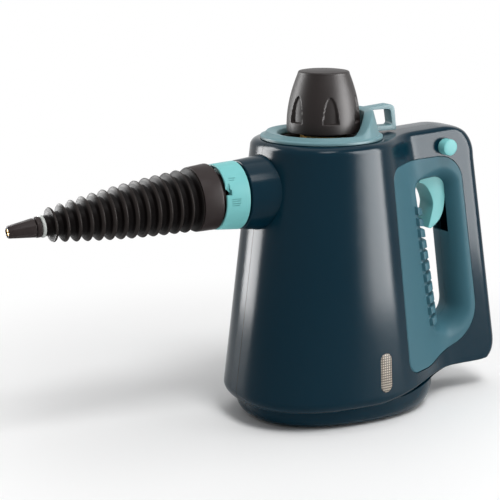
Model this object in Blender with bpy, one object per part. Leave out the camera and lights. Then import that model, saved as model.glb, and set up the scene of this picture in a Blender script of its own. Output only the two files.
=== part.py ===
"""Handheld steam cleaner: two moulded shells, boiler, safety cap, grip and ribbed nozzle hose.

Metres, +Z up. X runs from the nozzle (minus) to the handle (plus), and the shells meet on Y = 0.
Design places are measured from the filler neck's axis and from the floor.
"""
import math

import bmesh
import bpy
from mathutils import Vector

# Fits
GAP = 0.0003            # between pieces that seat on each other
RUNNING = 0.0004        # round what turns or slides
OVERRUN = 0.001         # how far a cutter passes the face that it cuts
WELD = 0.000001

# Body: its top, the bottom of its wall, and the outline's driving sizes at both
WALL = 0.0026
TOP = 0.2045
WALL_FOOT = 0.024
FRONT_TOP = 0.0495
FRONT_FOOT = 0.0715
WIDE_TOP = 0.050
WIDE_FOOT = 0.0615
WIDEST_TOP_X = 0.001
WIDEST_FOOT_X = 0.007
SHOULDER_TOP = 0.066
SHOULDER_FOOT = 0.105
FRONT_POWER = 2.5
SHOULDER_POWER = 1.3
EDGE_RADIUS = 0.0055
TURN_IN = 0.009
TURN_IN_HEIGHT = 0.0086

# Handle: half its thickness, its slanted back and the corners of that back in side view
HANDLE_HALF = 0.019
HANDLE_CORNER = 0.012
CORNER_POWER = 2.6
BACK_X = 0.126
BACK_TOP = 0.185
BACK_FOOT = 0.043
BACK_LEAN = 0.168
BACK_TOP_ROUND = 0.023
BACK_FOOT_ROUND = 0.022
BACK_TOP_POWER = 1.85
BACK_FOOT_POWER = 2.5
UNDERSIDE = 0.020
UNDERSIDE_SLOPE = 3.8
TOP_RISE = 0.066
TOP_RISE_START = 0.0450

# Foot ring under the body
FOOT_X = 0.012
FOOT_LONG = 0.076
FOOT_WIDE = 0.056
FOOT_POWER = 2.3
FOOT_ROUND = 0.008
FOOT_SEAM = 0.0148
FOOT_LIFT = 0.001

# Base plate and rubber feet
PLATE_THICK = 0.003
PAD_RADIUS = 0.007
PAD_HEIGHT = 0.0024
PAD_X = 0.046
PAD_Y = 0.026

# Grip panel and hand opening, as corners in side view with their radii
PANEL_CORNERS = ((0.033, 0.184, 0.009), (0.1076, 0.1875, 0.022), (0.1303, 0.047, 0.030),
                 (0.078, 0.0298, 0.040), (0.0446, 0.033, 0.012))
OPENING_CORNERS = ((0.071, 0.168, 0.008), (0.099, 0.168, 0.008), (0.1135, 0.0595, 0.012),
                   (0.100, 0.0565, 0.012), (0.0905, 0.0555, 0.006))
ROLL_WIDTHS = (0.010, 0.011, 0.0125, 0.012, 0.011)
FRAME_THICK = 0.0025
SEAM_HALF = 0.00015
RIB_COUNT = 8
RIB_HEIGHT = 0.0018

# Trigger, its pin and spring
PIVOT_X = 0.100
PIVOT_Z = 0.1765
PIN_RADIUS = 0.002
PIN_HALF = 0.0145
HUB_RADIUS = 0.0048
TRIGGER_HALF = 0.009
ARM_HALF = 0.003
ARM_THICK = 0.004
ARM_TOP = 0.1862
TRIGGER_FRONT = ((0.078, 0.1659), (0.0827, 0.1647), (0.0872, 0.160), (0.0908, 0.1531),
                 (0.0919, 0.1471), (0.0903, 0.1391), (0.088, 0.1305))
TRIGGER_BACK = ((0.0906, 0.1299), (0.0975, 0.1355), (0.1008, 0.1418), (0.1023, 0.1505),
                (0.1023, 0.1600), (0.1040, 0.1700), (0.1040, 0.1755), (0.0965, 0.1755),
                (0.0940, 0.1700), (0.0813, 0.1699))
SLOT_CORNERS = ((0.0765, 0.163), (0.0765, 0.1745), (0.118, 0.1745), (0.118, 0.1255),
                (0.100, 0.1255), (0.090, 0.163))
SPRING_WIDE = 0.003
SPRING_THICK = 0.0009
SPRING_LEG = 0.0085

# Lock button, a bolt that crosses the handle
BUTTON_X = 0.0944
BUTTON_Z = 0.1936
BUTTON_RADIUS = 0.00605
BUTTON_PROUD = 0.0075
BUTTON_TRAVEL = 0.007
BUTTON_NECK = 0.003
BUTTON_NECK_HALF = 0.0045
BUTTON_CHAMFER = 0.0007

# Indicator window in the left shell
LENS_X = 0.0193
LENS_Z = 0.040
LENS_HALF_WIDTH = 0.0048
LENS_HALF_HEIGHT = 0.0142
LENS_PROUD = 0.0003
LENS_THICK = 0.0022
LAMP_RADIUS = 0.0025
LAMP_LONG = 0.009

# Nozzle socket and locking collar, along the nozzle line from the filler axis
NOZZLE_Z = 0.1687
SOCKET_BACK = 0.040
SOCKET_BACK_RADIUS = 0.0280
SOCKET_FACE = 0.071
SOCKET_FACE_RADIUS = 0.0245
SOCKET_WALL = 0.0025
SPIGOT_RADIUS = 0.0165
SPIGOT_END = 0.085
SPIGOT_BORE = 0.0127
SPIGOT_FLOOR = 0.060
COLLAR_START = 0.0724
COLLAR_END = 0.0902
COLLAR_BACK_RADIUS = 0.0244
COLLAR_FRONT_RADIUS = 0.0232
COLLAR_LIP = 0.0017
COLLAR_THROAT = 0.0201
COLLAR_THROAT_DEPTH = 0.0045
NOTCH_WIDE = 0.007
NOTCH_DEEP = 0.003
NOTCH_X = 0.0058

# Accessory: it hangs a little in its bayonet
BAYONET = 0.0883
DROOP = math.radians(4.4)
STUB_RADIUS = 0.0092
STUB_BACK = 0.014
LUG_LONG = 0.0045
LUG_WIDE = 0.006
LUG_HIGH = 0.0016
SEAL_THICK = 0.0011
CUP_START = 0.0039
CUP_END = 0.0187
CUP_BACK_RADIUS = 0.0233
CUP_RADIUS = 0.0226
CUP_WALL = 0.003
CUP_EDGE = 0.0014
FIRST_CREST = 0.0273
CREST_COUNT = 13
CREST_PITCH = 0.00802
CREST_BIG = 0.0213
CREST_SMALL = 0.0113
CREST_BOW = 0.0014
GROOVE_DEPTH = 0.0017
BELLOWS_WALL = 0.0014
SLEEVE_DEEP = 0.006
LANCE_RADIUS = 0.0042
LANCE_BORE = 0.0026
WASHER_RADIUS = 0.0077
WASHER_THICK = 0.0026
NUT_RADIUS = 0.0071
NUT_THICK = 0.0032
TIP_LONG = 0.0222
TIP_BACK_HALF = 0.00635
TIP_FRONT_HALF = 0.0040
TIP_BORE = 0.0030
JET_RADIUS = 0.0027
JET_HOLE = 0.0007
JET_LONG = 0.008

# Cap, its stem and gasket
CAP_BOTTOM = 0.2095
CAP_TOP = 0.2530
CAP_CROWN = 0.0012
CAP_EDGE = 0.0018
CAP_RADIUS = 0.0264
CAP_TOP_RADIUS = 0.0180
CAP_WALL = 0.0040
CAP_BELLY = 0.0012
CAP_POWER = 1.6
FLUTE_COUNT = 6
FLUTE_TURN = math.radians(11.0)
FLUTE_HALF = 0.0057
FLUTE_DEEP = 0.0024
FLUTE_FOOT = 0.2145
FLUTE_TIP = 0.2410
STEM_RADIUS = 0.0092
STEM_BOTTOM = 0.1885
STEM_SHOULDER = 0.0160
GASKET_THICK = 0.0018
GASKET_RADIUS = 0.0155

# Filler neck, boiler and what heats it
NECK_TOP = 0.2070
NECK_RADIUS = 0.0168
NECK_BORE = 0.0097
NECK_TUBE = 0.0130
NECK_SHOULDER = 0.0030
BOILER_RADIUS = 0.0370
BOILER_BOTTOM = 0.078
BOILER_TOP = 0.184
BOILER_ROUND = 0.010
BOILER_WALL = 0.0018
SLEEVE_RADIUS = 0.0415
SLEEVE_BOTTOM = 0.086
SLEEVE_TOP = 0.138
HEATER_RADIUS = 0.030
HEATER_THICK = 0.007
HEATER_TERMINAL = 0.0022
HEATER_TERMINAL_LONG = 0.010
HEATER_TERMINAL_X = 0.016
BRACKET_RING = 0.004
BRACKET_LEG = 0.0035
BRACKET_LEGS = 3
BRACKET_SHELF = 0.005
THERMOSTAT_RADIUS = 0.0075
THERMOSTAT_THICK = 0.007
FUSE_RADIUS = 0.0022
FUSE_LONG = 0.012

# Steam valve and tubes
VALVE_FRONT = 0.060
VALVE_BACK = 0.082
VALVE_Z = 0.1842
VALVE_HALF_WIDE = 0.0085
VALVE_HALF_HIGH = 0.006
VALVE_NECK = 0.0042
ROD_RADIUS = 0.0015
ROD_TUCK = 0.006
TUBE_RADIUS = 0.0019
TUBE_ROUND_BOILER = 0.0449
TUBE_FROM = math.radians(30.0)
TUBE_TO = math.radians(150.0)
TUBE_STEPS = 12
TUBE_ENTRY = 0.009

# Terminal block and cord gland in the handle
BLOCK_X = 0.128
BLOCK_Z = 0.038
BLOCK_LONG = 0.018
BLOCK_HALF_WIDE = 0.0075
BLOCK_HIGH = 0.009
GLAND_Z = 0.048
GLAND_RADIUS = 0.0058
GLAND_FLANGE = 0.0074
GLAND_BORE = 0.0034
GLAND_PROUD = 0.0012
GLAND_LONG = 0.012

# Case screws: places in side view, and their bosses
SCREW_PLACES = ((-0.050, 0.045), (-0.050, 0.118), (0.058, 0.1965), (0.1295, 0.100), (0.0985, 0.0280))
BOSS_RADIUS = 0.0038
SCREW_RADIUS = 0.0014
SCREW_HEAD = 0.0026
SCREW_HEAD_THICK = 0.0018
SCREW_LONG = 0.014
SCREW_DEEP = 0.006

# Top dish, hanging loop and the black well inside it
DISH_FLANGE = 0.0444
DISH_FLANGE_THICK = 0.0010
DISH_WALL_FOOT = 0.0434
DISH_X = -0.0015
DISH_RIM = 0.0400
DISH_LIP = 0.0368
DISH_RIM_ROUND = 0.0010
DISH_RIM_WIDE = 0.0078
DISH_LIP_WIDE = 0.0062
DISH_RIM_DROP = 0.0012
DISH_FRONT_Z = 0.2098
DISH_BACK_Z = 0.2248
DISH_RISE_START = 0.008
DISH_RISE_END = 0.036
DISH_BORE = 0.0312
LOOP_HALF = 0.00475
LOOP_BACK = 0.0603
LOOP_TOP = 0.2262
LOOP_SHOULDER = 0.0535
LOOP_HOLE_FRONT = 0.0412
LOOP_HOLE_BACK = 0.0562
LOOP_HOLE_BOTTOM = 0.2110
LOOP_HOLE_TOP = 0.2216
LOOP_CORNER = 0.002
LOOP_ROOT = 0.0345
DECK_HOLE = 0.0405
WELL_RIM = 0.0382
WELL_FLOOR = 0.1985
WELL_THICK = 0.0022
WELL_RADIUS = 0.0304

# Facets
ROUND_STEPS = 32
SMALL_STEPS = 16
TINY_STEPS = 8
HOSE_STEPS = 24
FRONT_STEPS = 9
SHOULDER_STEPS = 7
CORNER_STEPS = 4
SHARP = math.radians(32.0)


def clear_scene():
    for obj in list(bpy.data.objects):
        bpy.data.objects.remove(obj, do_unlink=True)


def finish(name, color, roughness, metallic=0.0):
    """A Principled material with a flat colour."""
    made = bpy.data.materials.new(name)
    made.use_nodes = True
    shader = made.node_tree.nodes["Principled BSDF"]
    shader.inputs["Base Color"].default_value = (*color, 1.0)
    shader.inputs["Roughness"].default_value = roughness
    shader.inputs["Metallic"].default_value = metallic
    return made


def empty(name, parent=None, place=(0, 0, 0), turn=(0, 0, 0)):
    made = bpy.data.objects.new(name, None)
    bpy.context.collection.objects.link(made)
    made.parent = parent
    made.location = place
    made.rotation_euler = turn
    return made


def piece(name, mesh_data, color, parent, place=(0, 0, 0), turn=(0, 0, 0)):
    """An object from a bmesh, smooth but for its sharp edges."""
    bmesh.ops.recalc_face_normals(mesh_data, faces=mesh_data.faces)
    mesh = bpy.data.meshes.new(name)
    mesh_data.to_mesh(mesh)
    mesh_data.free()
    mesh.materials.append(color)
    mesh.shade_smooth()
    mesh.set_sharp_from_angle(angle=SHARP)
    made = bpy.data.objects.new(name, mesh)
    bpy.context.collection.objects.link(made)
    made.parent = parent
    made.location = place
    made.rotation_euler = turn
    return made


def cutter(name, mesh_data, parent, place=(0, 0, 0), turn=(0, 0, 0)):
    """A shape that only serves a Boolean."""
    made = piece(name, mesh_data, FINISHES["guide"], parent, place, turn)
    made.hide_render = True
    made.display_type = "WIRE"
    return made


def boolean(target, tool, operation="DIFFERENCE"):
    cut = target.modifiers.new(tool.name, "BOOLEAN")
    cut.operation = operation
    cut.object = tool


def ring_loft(rings, loop=False):
    """Skin over rings of equal count; open lofts get flat ends."""
    made = bmesh.new()
    rows = [[made.verts.new(point) for point in ring] for ring in rings]
    after = rows[1:] + rows[:1] if loop else rows[1:]
    for row, following in zip(rows, after):
        for index in range(len(row)):
            ahead = (index + 1) % len(row)
            made.faces.new((row[index], row[ahead], following[ahead], following[index]))
    if not loop:
        made.faces.new(rows[0])
        made.faces.new(rows[-1])
    return made


def turned(profile, steps=ROUND_STEPS):
    """A closed profile of (radius, height) turned round Z."""
    made = bmesh.new()
    points = [made.verts.new((radius, 0, height)) for radius, height in profile]
    edges = [made.edges.new((points[index], points[(index + 1) % len(points)]))
             for index in range(len(points))
             if profile[index][0] > 0 or profile[(index + 1) % len(points)][0] > 0]
    bmesh.ops.spin(made, geom=points + edges, axis=(0, 0, 1), cent=(0, 0, 0),
                   angle=2 * math.pi, steps=steps, use_merge=True)
    bmesh.ops.remove_doubles(made, verts=made.verts, dist=WELD)
    return made


def rod(radius, bottom, top, steps=SMALL_STEPS):
    return turned(((0, bottom), (radius, bottom), (radius, top), (0, top)), steps)


def tube(outer, inner, bottom, top, steps=SMALL_STEPS):
    return turned(((inner, bottom), (outer, bottom), (outer, top), (inner, top)), steps)


def slab(outline, near, far):
    """A side-view outline of (x, z) carried along Y."""
    return ring_loft([[(x, near, z) for x, z in outline], [(x, far, z) for x, z in outline]])


def block(low, high):
    return slab(((low[0], low[2]), (high[0], low[2]), (high[0], high[2]), (low[0], high[2])),
                low[1], high[1])


def corner_arc(before, corner, after, radius, steps):
    """Points of the fillet at one corner of a side-view outline."""
    corner = Vector(corner)
    back = (Vector(before) - corner).normalized()
    ahead = (Vector(after) - corner).normalized()
    half = back.angle(ahead) / 2
    reach = radius / math.tan(half)
    centre = corner + (back + ahead).normalized() * radius / math.sin(half)
    start = corner + back * reach - centre
    sweep = math.pi - 2 * half
    turn = 1 if back.x * ahead.y - back.y * ahead.x < 0 else -1
    points = []
    for step in range(steps + 1):
        angle = turn * sweep * step / steps
        points.append((centre.x + start.x * math.cos(angle) - start.y * math.sin(angle),
                       centre.y + start.x * math.sin(angle) + start.y * math.cos(angle)))
    return points


def rounded(corners, steps, sides):
    """A closed outline with a fillet at each corner and shares along each side after it."""
    outline = []
    count = len(corners)
    arcs = [corner_arc(corners[index - 1][:2], corners[index][:2],
                       corners[(index + 1) % count][:2], corners[index][2], steps)
            for index in range(count)]
    for index, arc in enumerate(arcs):
        outline.extend(arc)
        start, end = Vector(arc[-1]), Vector(arcs[(index + 1) % count][0])
        outline.extend(tuple(start.lerp(end, share)) for share in sides[index])
    return outline


def grown(outline, amount):
    """An outline moved outward by an amount; it runs clockwise in side view."""
    moved = []
    for index, point in enumerate(outline):
        before, after = Vector(outline[index - 1]), Vector(outline[(index + 1) % len(outline)])
        along = (after - before).normalized()
        moved.append((point[0] - along.y * amount, point[1] + along.x * amount))
    return moved


def lerp(start, end, share):
    return start + (end - start) * share


def level_share(height):
    """0 at the wall's foot, 1 at the top of the body."""
    return (height - WALL_FOOT) / (TOP - WALL_FOOT)


def back_at(height):
    """The handle's back in side view."""
    slanted = BACK_X + (BACK_TOP - height) * BACK_LEAN
    if height > BACK_TOP:
        part = min((height - BACK_TOP) / (TOP - BACK_TOP), 1)
        bulge = (1 - part ** BACK_TOP_POWER) ** (1 / BACK_TOP_POWER)
        return BACK_X - BACK_TOP_ROUND * (1 - bulge)
    if height > UNDERSIDE:
        part = max(BACK_FOOT - height, 0) / (BACK_FOOT - UNDERSIDE)
        bulge = (1 - part ** BACK_FOOT_POWER) ** (1 / BACK_FOOT_POWER)
        return slanted - BACK_FOOT_ROUND * (1 - bulge)
    foot = BACK_X + (BACK_TOP - UNDERSIDE) * BACK_LEAN - BACK_FOOT_ROUND
    return foot - (UNDERSIDE - height) * UNDERSIDE_SLOPE


def half_width(x, height):
    """Half the body's width behind its widest place."""
    share = level_share(height)
    widest = lerp(WIDEST_FOOT_X, WIDEST_TOP_X, share)
    reach = min(max((x - widest) / lerp(SHOULDER_FOOT, SHOULDER_TOP, share), 0), 1)
    swell = (1 + math.cos(math.pi * reach ** SHOULDER_POWER)) / 2
    return HANDLE_HALF + (lerp(WIDE_FOOT, WIDE_TOP, share) - HANDLE_HALF) * swell


def body_outline(height, inset, back):
    """Half of the body's plan at a height: (x, y) from the front of the seam to its back."""
    share = level_share(height)
    widest = lerp(WIDEST_FOOT_X, WIDEST_TOP_X, share)
    front = widest + lerp(FRONT_FOOT, FRONT_TOP, share) - inset
    wide = lerp(WIDE_FOOT, WIDE_TOP, share) - inset
    power = 2 / FRONT_POWER
    points = []
    for step in range(FRONT_STEPS):
        angle = math.pi / 2 * step / FRONT_STEPS
        points.append((widest - front * math.cos(angle) ** power, wide * math.sin(angle) ** power))
    last = back - HANDLE_CORNER
    for step in range(SHOULDER_STEPS):
        x = lerp(widest, last, step / SHOULDER_STEPS)
        points.append((x, half_width(x, height) - inset))
    side = half_width(last, height) - inset
    power = 2 / CORNER_POWER
    for step in range(CORNER_STEPS + 1):
        angle = math.pi / 2 * step / CORNER_STEPS
        points.append((last + (HANDLE_CORNER - inset) * math.sin(angle) ** power,
                       side * max(math.cos(angle), 0) ** power))
    return points


def foot_outline(inset):
    """Half of the foot's plan, with as many points as the body's."""
    count = FRONT_STEPS + SHOULDER_STEPS + CORNER_STEPS
    points = []
    for step in range(count + 1):
        angle = math.pi * step / count
        along, across = math.cos(angle), max(math.sin(angle), 0)
        shape = math.copysign(abs(along) ** (2 / FOOT_POWER), along)
        points.append((FOOT_X - (FOOT_LONG - inset) * shape,
                       (FOOT_WIDE - inset) * across ** (2 / FOOT_POWER)))
    return points


def deck_rise(x, height):
    """How far the top lifts towards the handle."""
    share = min(max((height - BACK_TOP) / (TOP - BACK_TOP), 0), 1)
    return max(x - TOP_RISE_START, 0) * TOP_RISE * share


def half_ring(outline, height, side, seam):
    """An outline as a ring of one shell, closed along the seam."""
    ring = []
    for index, (x, y) in enumerate(outline):
        ends = index in (0, len(outline) - 1)
        ring.append((x, side * (seam if ends else max(y, seam)), height + deck_rise(x, height)))
    return ring


TURN_SHARES = ((0.0, 1.0), (0.25, 0.50), (0.6, 0.15), (1.0, 0.0))
EDGE_SHARES = ((0.0, 0.0), (0.5, 0.13), (0.87, 0.5), (1.0, 1.0))
FOOT_SHARES = ((0.0, 1.0), (0.29, 0.29), (1.0, 0.0))
WALL_SHARES = (0.07, 0.2, 0.5, 0.8)
CORNER_SHARES = (0.3, 0.62)


def shell_rings(side, inset, seam, lift):
    """Rings of one half of the body and foot, from the bottom up; lift moves floors up."""
    rings = []
    for high, tuck in FOOT_SHARES:
        height = FOOT_LIFT + high * FOOT_ROUND
        rings.append(half_ring(foot_outline(tuck * FOOT_ROUND + inset), height, side, seam))
    rings.append(half_ring(foot_outline(inset), FOOT_SEAM + lift, side, seam))
    for high, tuck in TURN_SHARES:
        height = WALL_FOOT - TURN_IN_HEIGHT * (1 - high) + lift
        back = back_at(height - lift)
        rings.append(half_ring(body_outline(height, tuck * TURN_IN + inset, back), height, side, seam))
    for share in WALL_SHARES:
        height = lerp(WALL_FOOT, BACK_TOP, share) + lift * (1 - share)
        rings.append(half_ring(body_outline(height, inset, back_at(height - lift)), height, side, seam))
    for share in CORNER_SHARES:
        height = lerp(BACK_TOP, TOP - EDGE_RADIUS, share)
        rings.append(half_ring(body_outline(height, inset, back_at(height)), height, side, seam))
    for high, tuck in EDGE_SHARES:
        height = TOP - EDGE_RADIUS * (1 - high) - inset
        outline = body_outline(height, tuck * EDGE_RADIUS + inset, back_at(height))
        rings.append(half_ring(outline, height, side, seam))
    return rings


def half_body(side, inset, seam, lift, drop=0.0):
    """One half of the body as a solid; its top is made of strips across to the seam."""
    rings = shell_rings(side, inset, seam, lift)
    if drop:
        rings.insert(0, [(x, y, z - drop) for x, y, z in rings[0]])
    made = bmesh.new()
    rows = [[made.verts.new(point) for point in ring] for ring in rings]
    for row, following in zip(rows, rows[1:]):
        for index in range(len(row) - 1):
            made.faces.new((row[index], row[index + 1], following[index + 1], following[index]))
    top = rows[-1]
    across = [top[0]]
    across += [made.verts.new((vert.co.x, side * seam, vert.co.z)) for vert in top[1:-1]]
    across.append(top[-1])
    for index in range(len(top) - 1):
        corners = [top[index], top[index + 1], across[index + 1], across[index]]
        made.faces.new(list(dict.fromkeys(corners)))
    made.faces.new([row[0] for row in rows] + across[1:-1] + [row[-1] for row in reversed(rows)])
    made.faces.new(rows[0])
    return made


PANEL_SIDE_SHARES = ((0.35, 0.7), (0.14, 0.28, 0.42, 0.56, 0.7, 0.85), (0.5,), (0.5,))
RIB_SHARES = ((0.1, 0.0), (0.5, 0.75), (0.88, 1.0))
RIBBED_SHARE = 0.86
PANEL_CORNER_STEPS = 4
SKIN_SHARES = (0.0, 0.35, 0.68)
ROLL_SHARES = (1.0, 0.75, 0.5, 0.25, 0.0)
INNER_ROLL_SHARES = (0.0, 0.5, 1.0)
ROLL_LIMIT_SHARE = 0.82


def rib_stations():
    """Shares up the opening's front side with the rib's rise at each."""
    stations = []
    for rib in range(RIB_COUNT):
        for place, rise in RIB_SHARES:
            stations.append(((rib + place) / RIB_COUNT * RIBBED_SHARE, rise))
    return stations


def panel_outline():
    sides = PANEL_SIDE_SHARES + (tuple(share for share, _ in rib_stations()),)
    return rounded(PANEL_CORNERS, PANEL_CORNER_STEPS, sides)


def opening_outline():
    sides = PANEL_SIDE_SHARES + (tuple(share for share, _ in rib_stations()),)
    return rounded(OPENING_CORNERS, PANEL_CORNER_STEPS, sides)


def station_values():
    """For each outline point: the width of the rolled edge and the rib's rise."""
    values = []
    sides = PANEL_SIDE_SHARES + (tuple(share for share, _ in rib_stations()),)
    rises = [rise for _, rise in rib_stations()]
    for index, shares in enumerate(sides):
        here, following = ROLL_WIDTHS[index], ROLL_WIDTHS[(index + 1) % len(ROLL_WIDTHS)]
        values += [(here, 0.0)] * (PANEL_CORNER_STEPS + 1)
        last = index == len(sides) - 1
        for step, share in enumerate(shares):
            values.append((lerp(here, following, share), rises[step] if last else 0.0))
    return values


def skin(place, side, depth=0.0):
    """A point of the body's side surface at (x, z), moved inward by a depth."""
    return (place.x, side * (half_width(place.x, place.y) - depth), place.y)


def frame_section(rim, edge, width, rise, side):
    """Section of a grip frame: along the skin, round into the hand opening, and back inside."""
    rim, edge = Vector(rim), Vector(edge)
    away = (rim - edge).normalized()
    width = min(width, (rim - edge).length * ROLL_LIMIT_SHARE)
    bend = edge + away * width
    points = [skin(rim.lerp(bend, share), side) for share in SKIN_SHARES]
    reach = half_width(bend.x, bend.y)
    for share in ROLL_SHARES:
        angle = math.pi / 2 * share
        lift = rise * RIB_HEIGHT * math.cos(angle)
        spot = bend - away * (width * math.cos(angle) + lift)
        points.append((spot.x, side * max(reach * math.sin(angle), SEAM_HALF), spot.y))
    for share in INNER_ROLL_SHARES:
        angle = math.pi / 2 * share
        spot = bend - away * (width - FRAME_THICK) * math.cos(angle)
        inner = (reach - FRAME_THICK) * math.sin(angle)
        points.append((spot.x, side * max(inner, SEAM_HALF), spot.y))
    points.append(skin(rim, side, FRAME_THICK))
    return points


def make_grip_frame(name, side, parent):
    rims, edges = panel_outline(), opening_outline()
    rings = [frame_section(rim, edge, width, rise, side)
             for rim, edge, (width, rise) in zip(rims, edges, station_values())]
    frame = piece(name, ring_loft(rings, loop=True), FINISHES["teal"], parent)
    slot = TRIGGER_HALF + RUNNING
    boolean(frame, cutter(name + "_slot", slab(SLOT_CORNERS, -slot, slot), parent))
    return frame


def side_empty(name, parent, x, z, y=0.0):
    """An empty whose Z runs along +Y, for what crosses the body."""
    return empty(name, parent, (x, y, z), (-math.pi / 2, 0, 0))


def stadium(half_wide, half_high, grow, steps=TINY_STEPS):
    """An upright stadium round the window's middle."""
    radius = half_wide + grow
    straight = half_high - half_wide
    points = []
    for end in (1, -1):
        for step in range(steps + 1):
            angle = math.pi * step / steps
            points.append((LENS_X - end * radius * math.cos(angle),
                           LENS_Z + end * (straight + radius * math.sin(angle))))
    return points


def nozzle_empty(name, parent):
    """An empty whose Z runs forward along the nozzle line, from the filler axis."""
    return empty(name, parent, (0, 0, NOZZLE_Z), (0, -math.pi / 2, 0))


def socket_radius(forward):
    share = (forward - SOCKET_BACK) / (SOCKET_FACE - SOCKET_BACK)
    return lerp(SOCKET_BACK_RADIUS, SOCKET_FACE_RADIUS, share)


def shell_cuts(shell, name, side, parent, nozzle):
    """Every opening of one shell."""
    boolean(shell, cutter(name + "_hollow",
                          half_body(side, WALL, -OVERRUN, WALL, FOOT_LIFT + OVERRUN), parent))
    deck = rod(DECK_HOLE, TOP - WALL - EDGE_RADIUS - OVERRUN, TOP + OVERRUN, ROUND_STEPS)
    boolean(shell, cutter(name + "_deck", deck, parent, (DISH_X, 0, 0)))
    for number, (x, z) in enumerate(SCREW_PLACES):
        across = side_empty(f"{name}_boss_{number}_line", parent, x, z)
        reach = boss_reach(x, z)
        ends = sorted((side * SEAM_HALF, side * reach))
        boolean(shell, cutter(f"{name}_boss_{number}", rod(BOSS_RADIUS, *ends), across), "UNION")
        screw_cuts(shell, name, number, side, across, reach)
    body_wide = WIDE_FOOT + OVERRUN
    panel = grown(panel_outline(), GAP)
    boolean(shell, cutter(name + "_panel", slab(panel, -OVERRUN * side, side * body_wide), parent))
    opening = ((0, SOCKET_BACK), (socket_radius(SOCKET_BACK) + GAP, SOCKET_BACK),
               (socket_radius(SOCKET_FACE) + GAP, SOCKET_FACE), (0, SOCKET_FACE))
    boolean(shell, cutter(name + "_nozzle", turned(opening), nozzle))
    bolt = side_empty(name + "_bolt_line", parent, BUTTON_X, BUTTON_Z)
    far = sorted((0, side * body_wide))
    boolean(shell, cutter(name + "_bolt", rod(BUTTON_RADIUS + RUNNING, *far), bolt))
    boolean(shell, cutter(name + "_gland", rod(GLAND_RADIUS + GAP, -GLAND_LONG, GLAND_LONG),
                          gland_empty(name + "_gland_line", parent)))


def boss_reach(x, z):
    """How far from the seam the middle of the wall lies at a screw."""
    if x < 0:
        share = level_share(z)
        widest = lerp(WIDEST_FOOT_X, WIDEST_TOP_X, share)
        long = widest + lerp(FRONT_FOOT, FRONT_TOP, share)
        along = (widest - x + BOSS_RADIUS) / long
        wide = lerp(WIDE_FOOT, WIDE_TOP, share)
        return wide * (1 - along ** FRONT_POWER) ** (1 / FRONT_POWER) - WALL
    return half_width(x + BOSS_RADIUS, z) - WALL / 2


def screw_cuts(shell, name, number, side, across, reach):
    """A blind pilot hole in the left shell, a through hole and a deep counterbore in the right."""
    if side < 0:
        pilot = rod(SCREW_RADIUS + GAP, -SCREW_LONG + SCREW_DEEP - GAP, OVERRUN, TINY_STEPS)
        boolean(shell, cutter(f"{name}_pilot_{number}", pilot, across))
        return
    bore = rod(SCREW_RADIUS + GAP, -OVERRUN, SCREW_DEEP + OVERRUN, TINY_STEPS)
    boolean(shell, cutter(f"{name}_bore_{number}", bore, across))
    sunk = rod(SCREW_HEAD + GAP, SCREW_DEEP, WIDE_FOOT + OVERRUN, TINY_STEPS)
    boolean(shell, cutter(f"{name}_sink_{number}", sunk, across))


def make_shell(name, side, parent, nozzle):
    """A shell's counterbores run along its curved wall, which the exact solver fails on."""
    shell = piece(name, half_body(side, 0, SEAM_HALF, 0), FINISHES["body"], parent)
    shell_cuts(shell, name, side, parent, nozzle)
    for cut in shell.modifiers:
        cut.solver = "MANIFOLD"
    return shell


def make_screws(parent):
    for number, (x, z) in enumerate(SCREW_PLACES):
        across = side_empty(f"screw_line_{number}", parent, x, z)
        head = SCREW_DEEP + GAP
        profile = ((0, head - SCREW_LONG), (SCREW_RADIUS, head - SCREW_LONG), (SCREW_RADIUS, head),
                   (SCREW_HEAD, head), (SCREW_HEAD, head + SCREW_HEAD_THICK),
                   (SCREW_RADIUS, head + SCREW_HEAD_THICK), (0, head + SCREW_HEAD_THICK / 2))
        piece(f"case_screw_{number + 1}", turned(profile, TINY_STEPS), FINISHES["steel"], across)


def gland_empty(name, parent):
    """An empty on the handle's back, its Z pointing out along the back's own normal."""
    lean = math.atan(BACK_LEAN)
    return empty(name, parent, (back_at(GLAND_Z), 0, GLAND_Z), (0, math.pi / 2 - lean, 0))


def make_lens(left_shell, parent):
    """The window follows the shell's side and stands a little proud of it."""
    outline = stadium(LENS_HALF_WIDTH, LENS_HALF_HEIGHT, 0)
    hole = stadium(LENS_HALF_WIDTH, LENS_HALF_HEIGHT, GAP)
    faces = (-LENS_PROUD, LENS_THICK)
    rings = [[skin(Vector(spot), -1, depth) for spot in outline] for depth in faces]
    piece("indicator_lens", ring_loft(rings), FINISHES["lens"], parent)
    wide = [[(x, y, z) for x, z in hole] for y in (-WIDE_FOOT - OVERRUN, -HANDLE_HALF)]
    boolean(left_shell, cutter("lens_hole", ring_loft(wide), parent))
    lamp_line = side_empty("lamp_line", parent, LENS_X, LENS_Z)
    front = half_width(LENS_X - LENS_HALF_WIDTH, LENS_Z) - LENS_THICK - GAP * 4
    piece("indicator_lamp", rod(LAMP_RADIUS, -front, -front + LAMP_LONG, TINY_STEPS),
          FINISHES["lamp"], lamp_line)


def make_base(parent):
    """Base plate inside the foot ring, on four rubber feet set into it."""
    inset = FOOT_ROUND + WALL + GAP
    half = foot_outline(inset)
    outline = half + [(x, -y) for x, y in half[-2:0:-1]]
    rings = [[(x, y, FOOT_LIFT + rise) for x, y in outline] for rise in (0, PLATE_THICK)]
    plate = piece("base_plate", ring_loft(rings), FINISHES["plate"], parent)
    number = 0
    for along in (-1, 1):
        for across in (-1, 1):
            number += 1
            spot = (FOOT_X + along * PAD_X, across * PAD_Y, 0)
            piece(f"rubber_foot_{number}", rod(PAD_RADIUS, 0, PAD_HEIGHT), FINISHES["rubber"],
                  parent, spot)
            boolean(plate, cutter(f"pad_seat_{number}",
                                  rod(PAD_RADIUS + GAP, -OVERRUN, PAD_HEIGHT + GAP), parent, spot))


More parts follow.
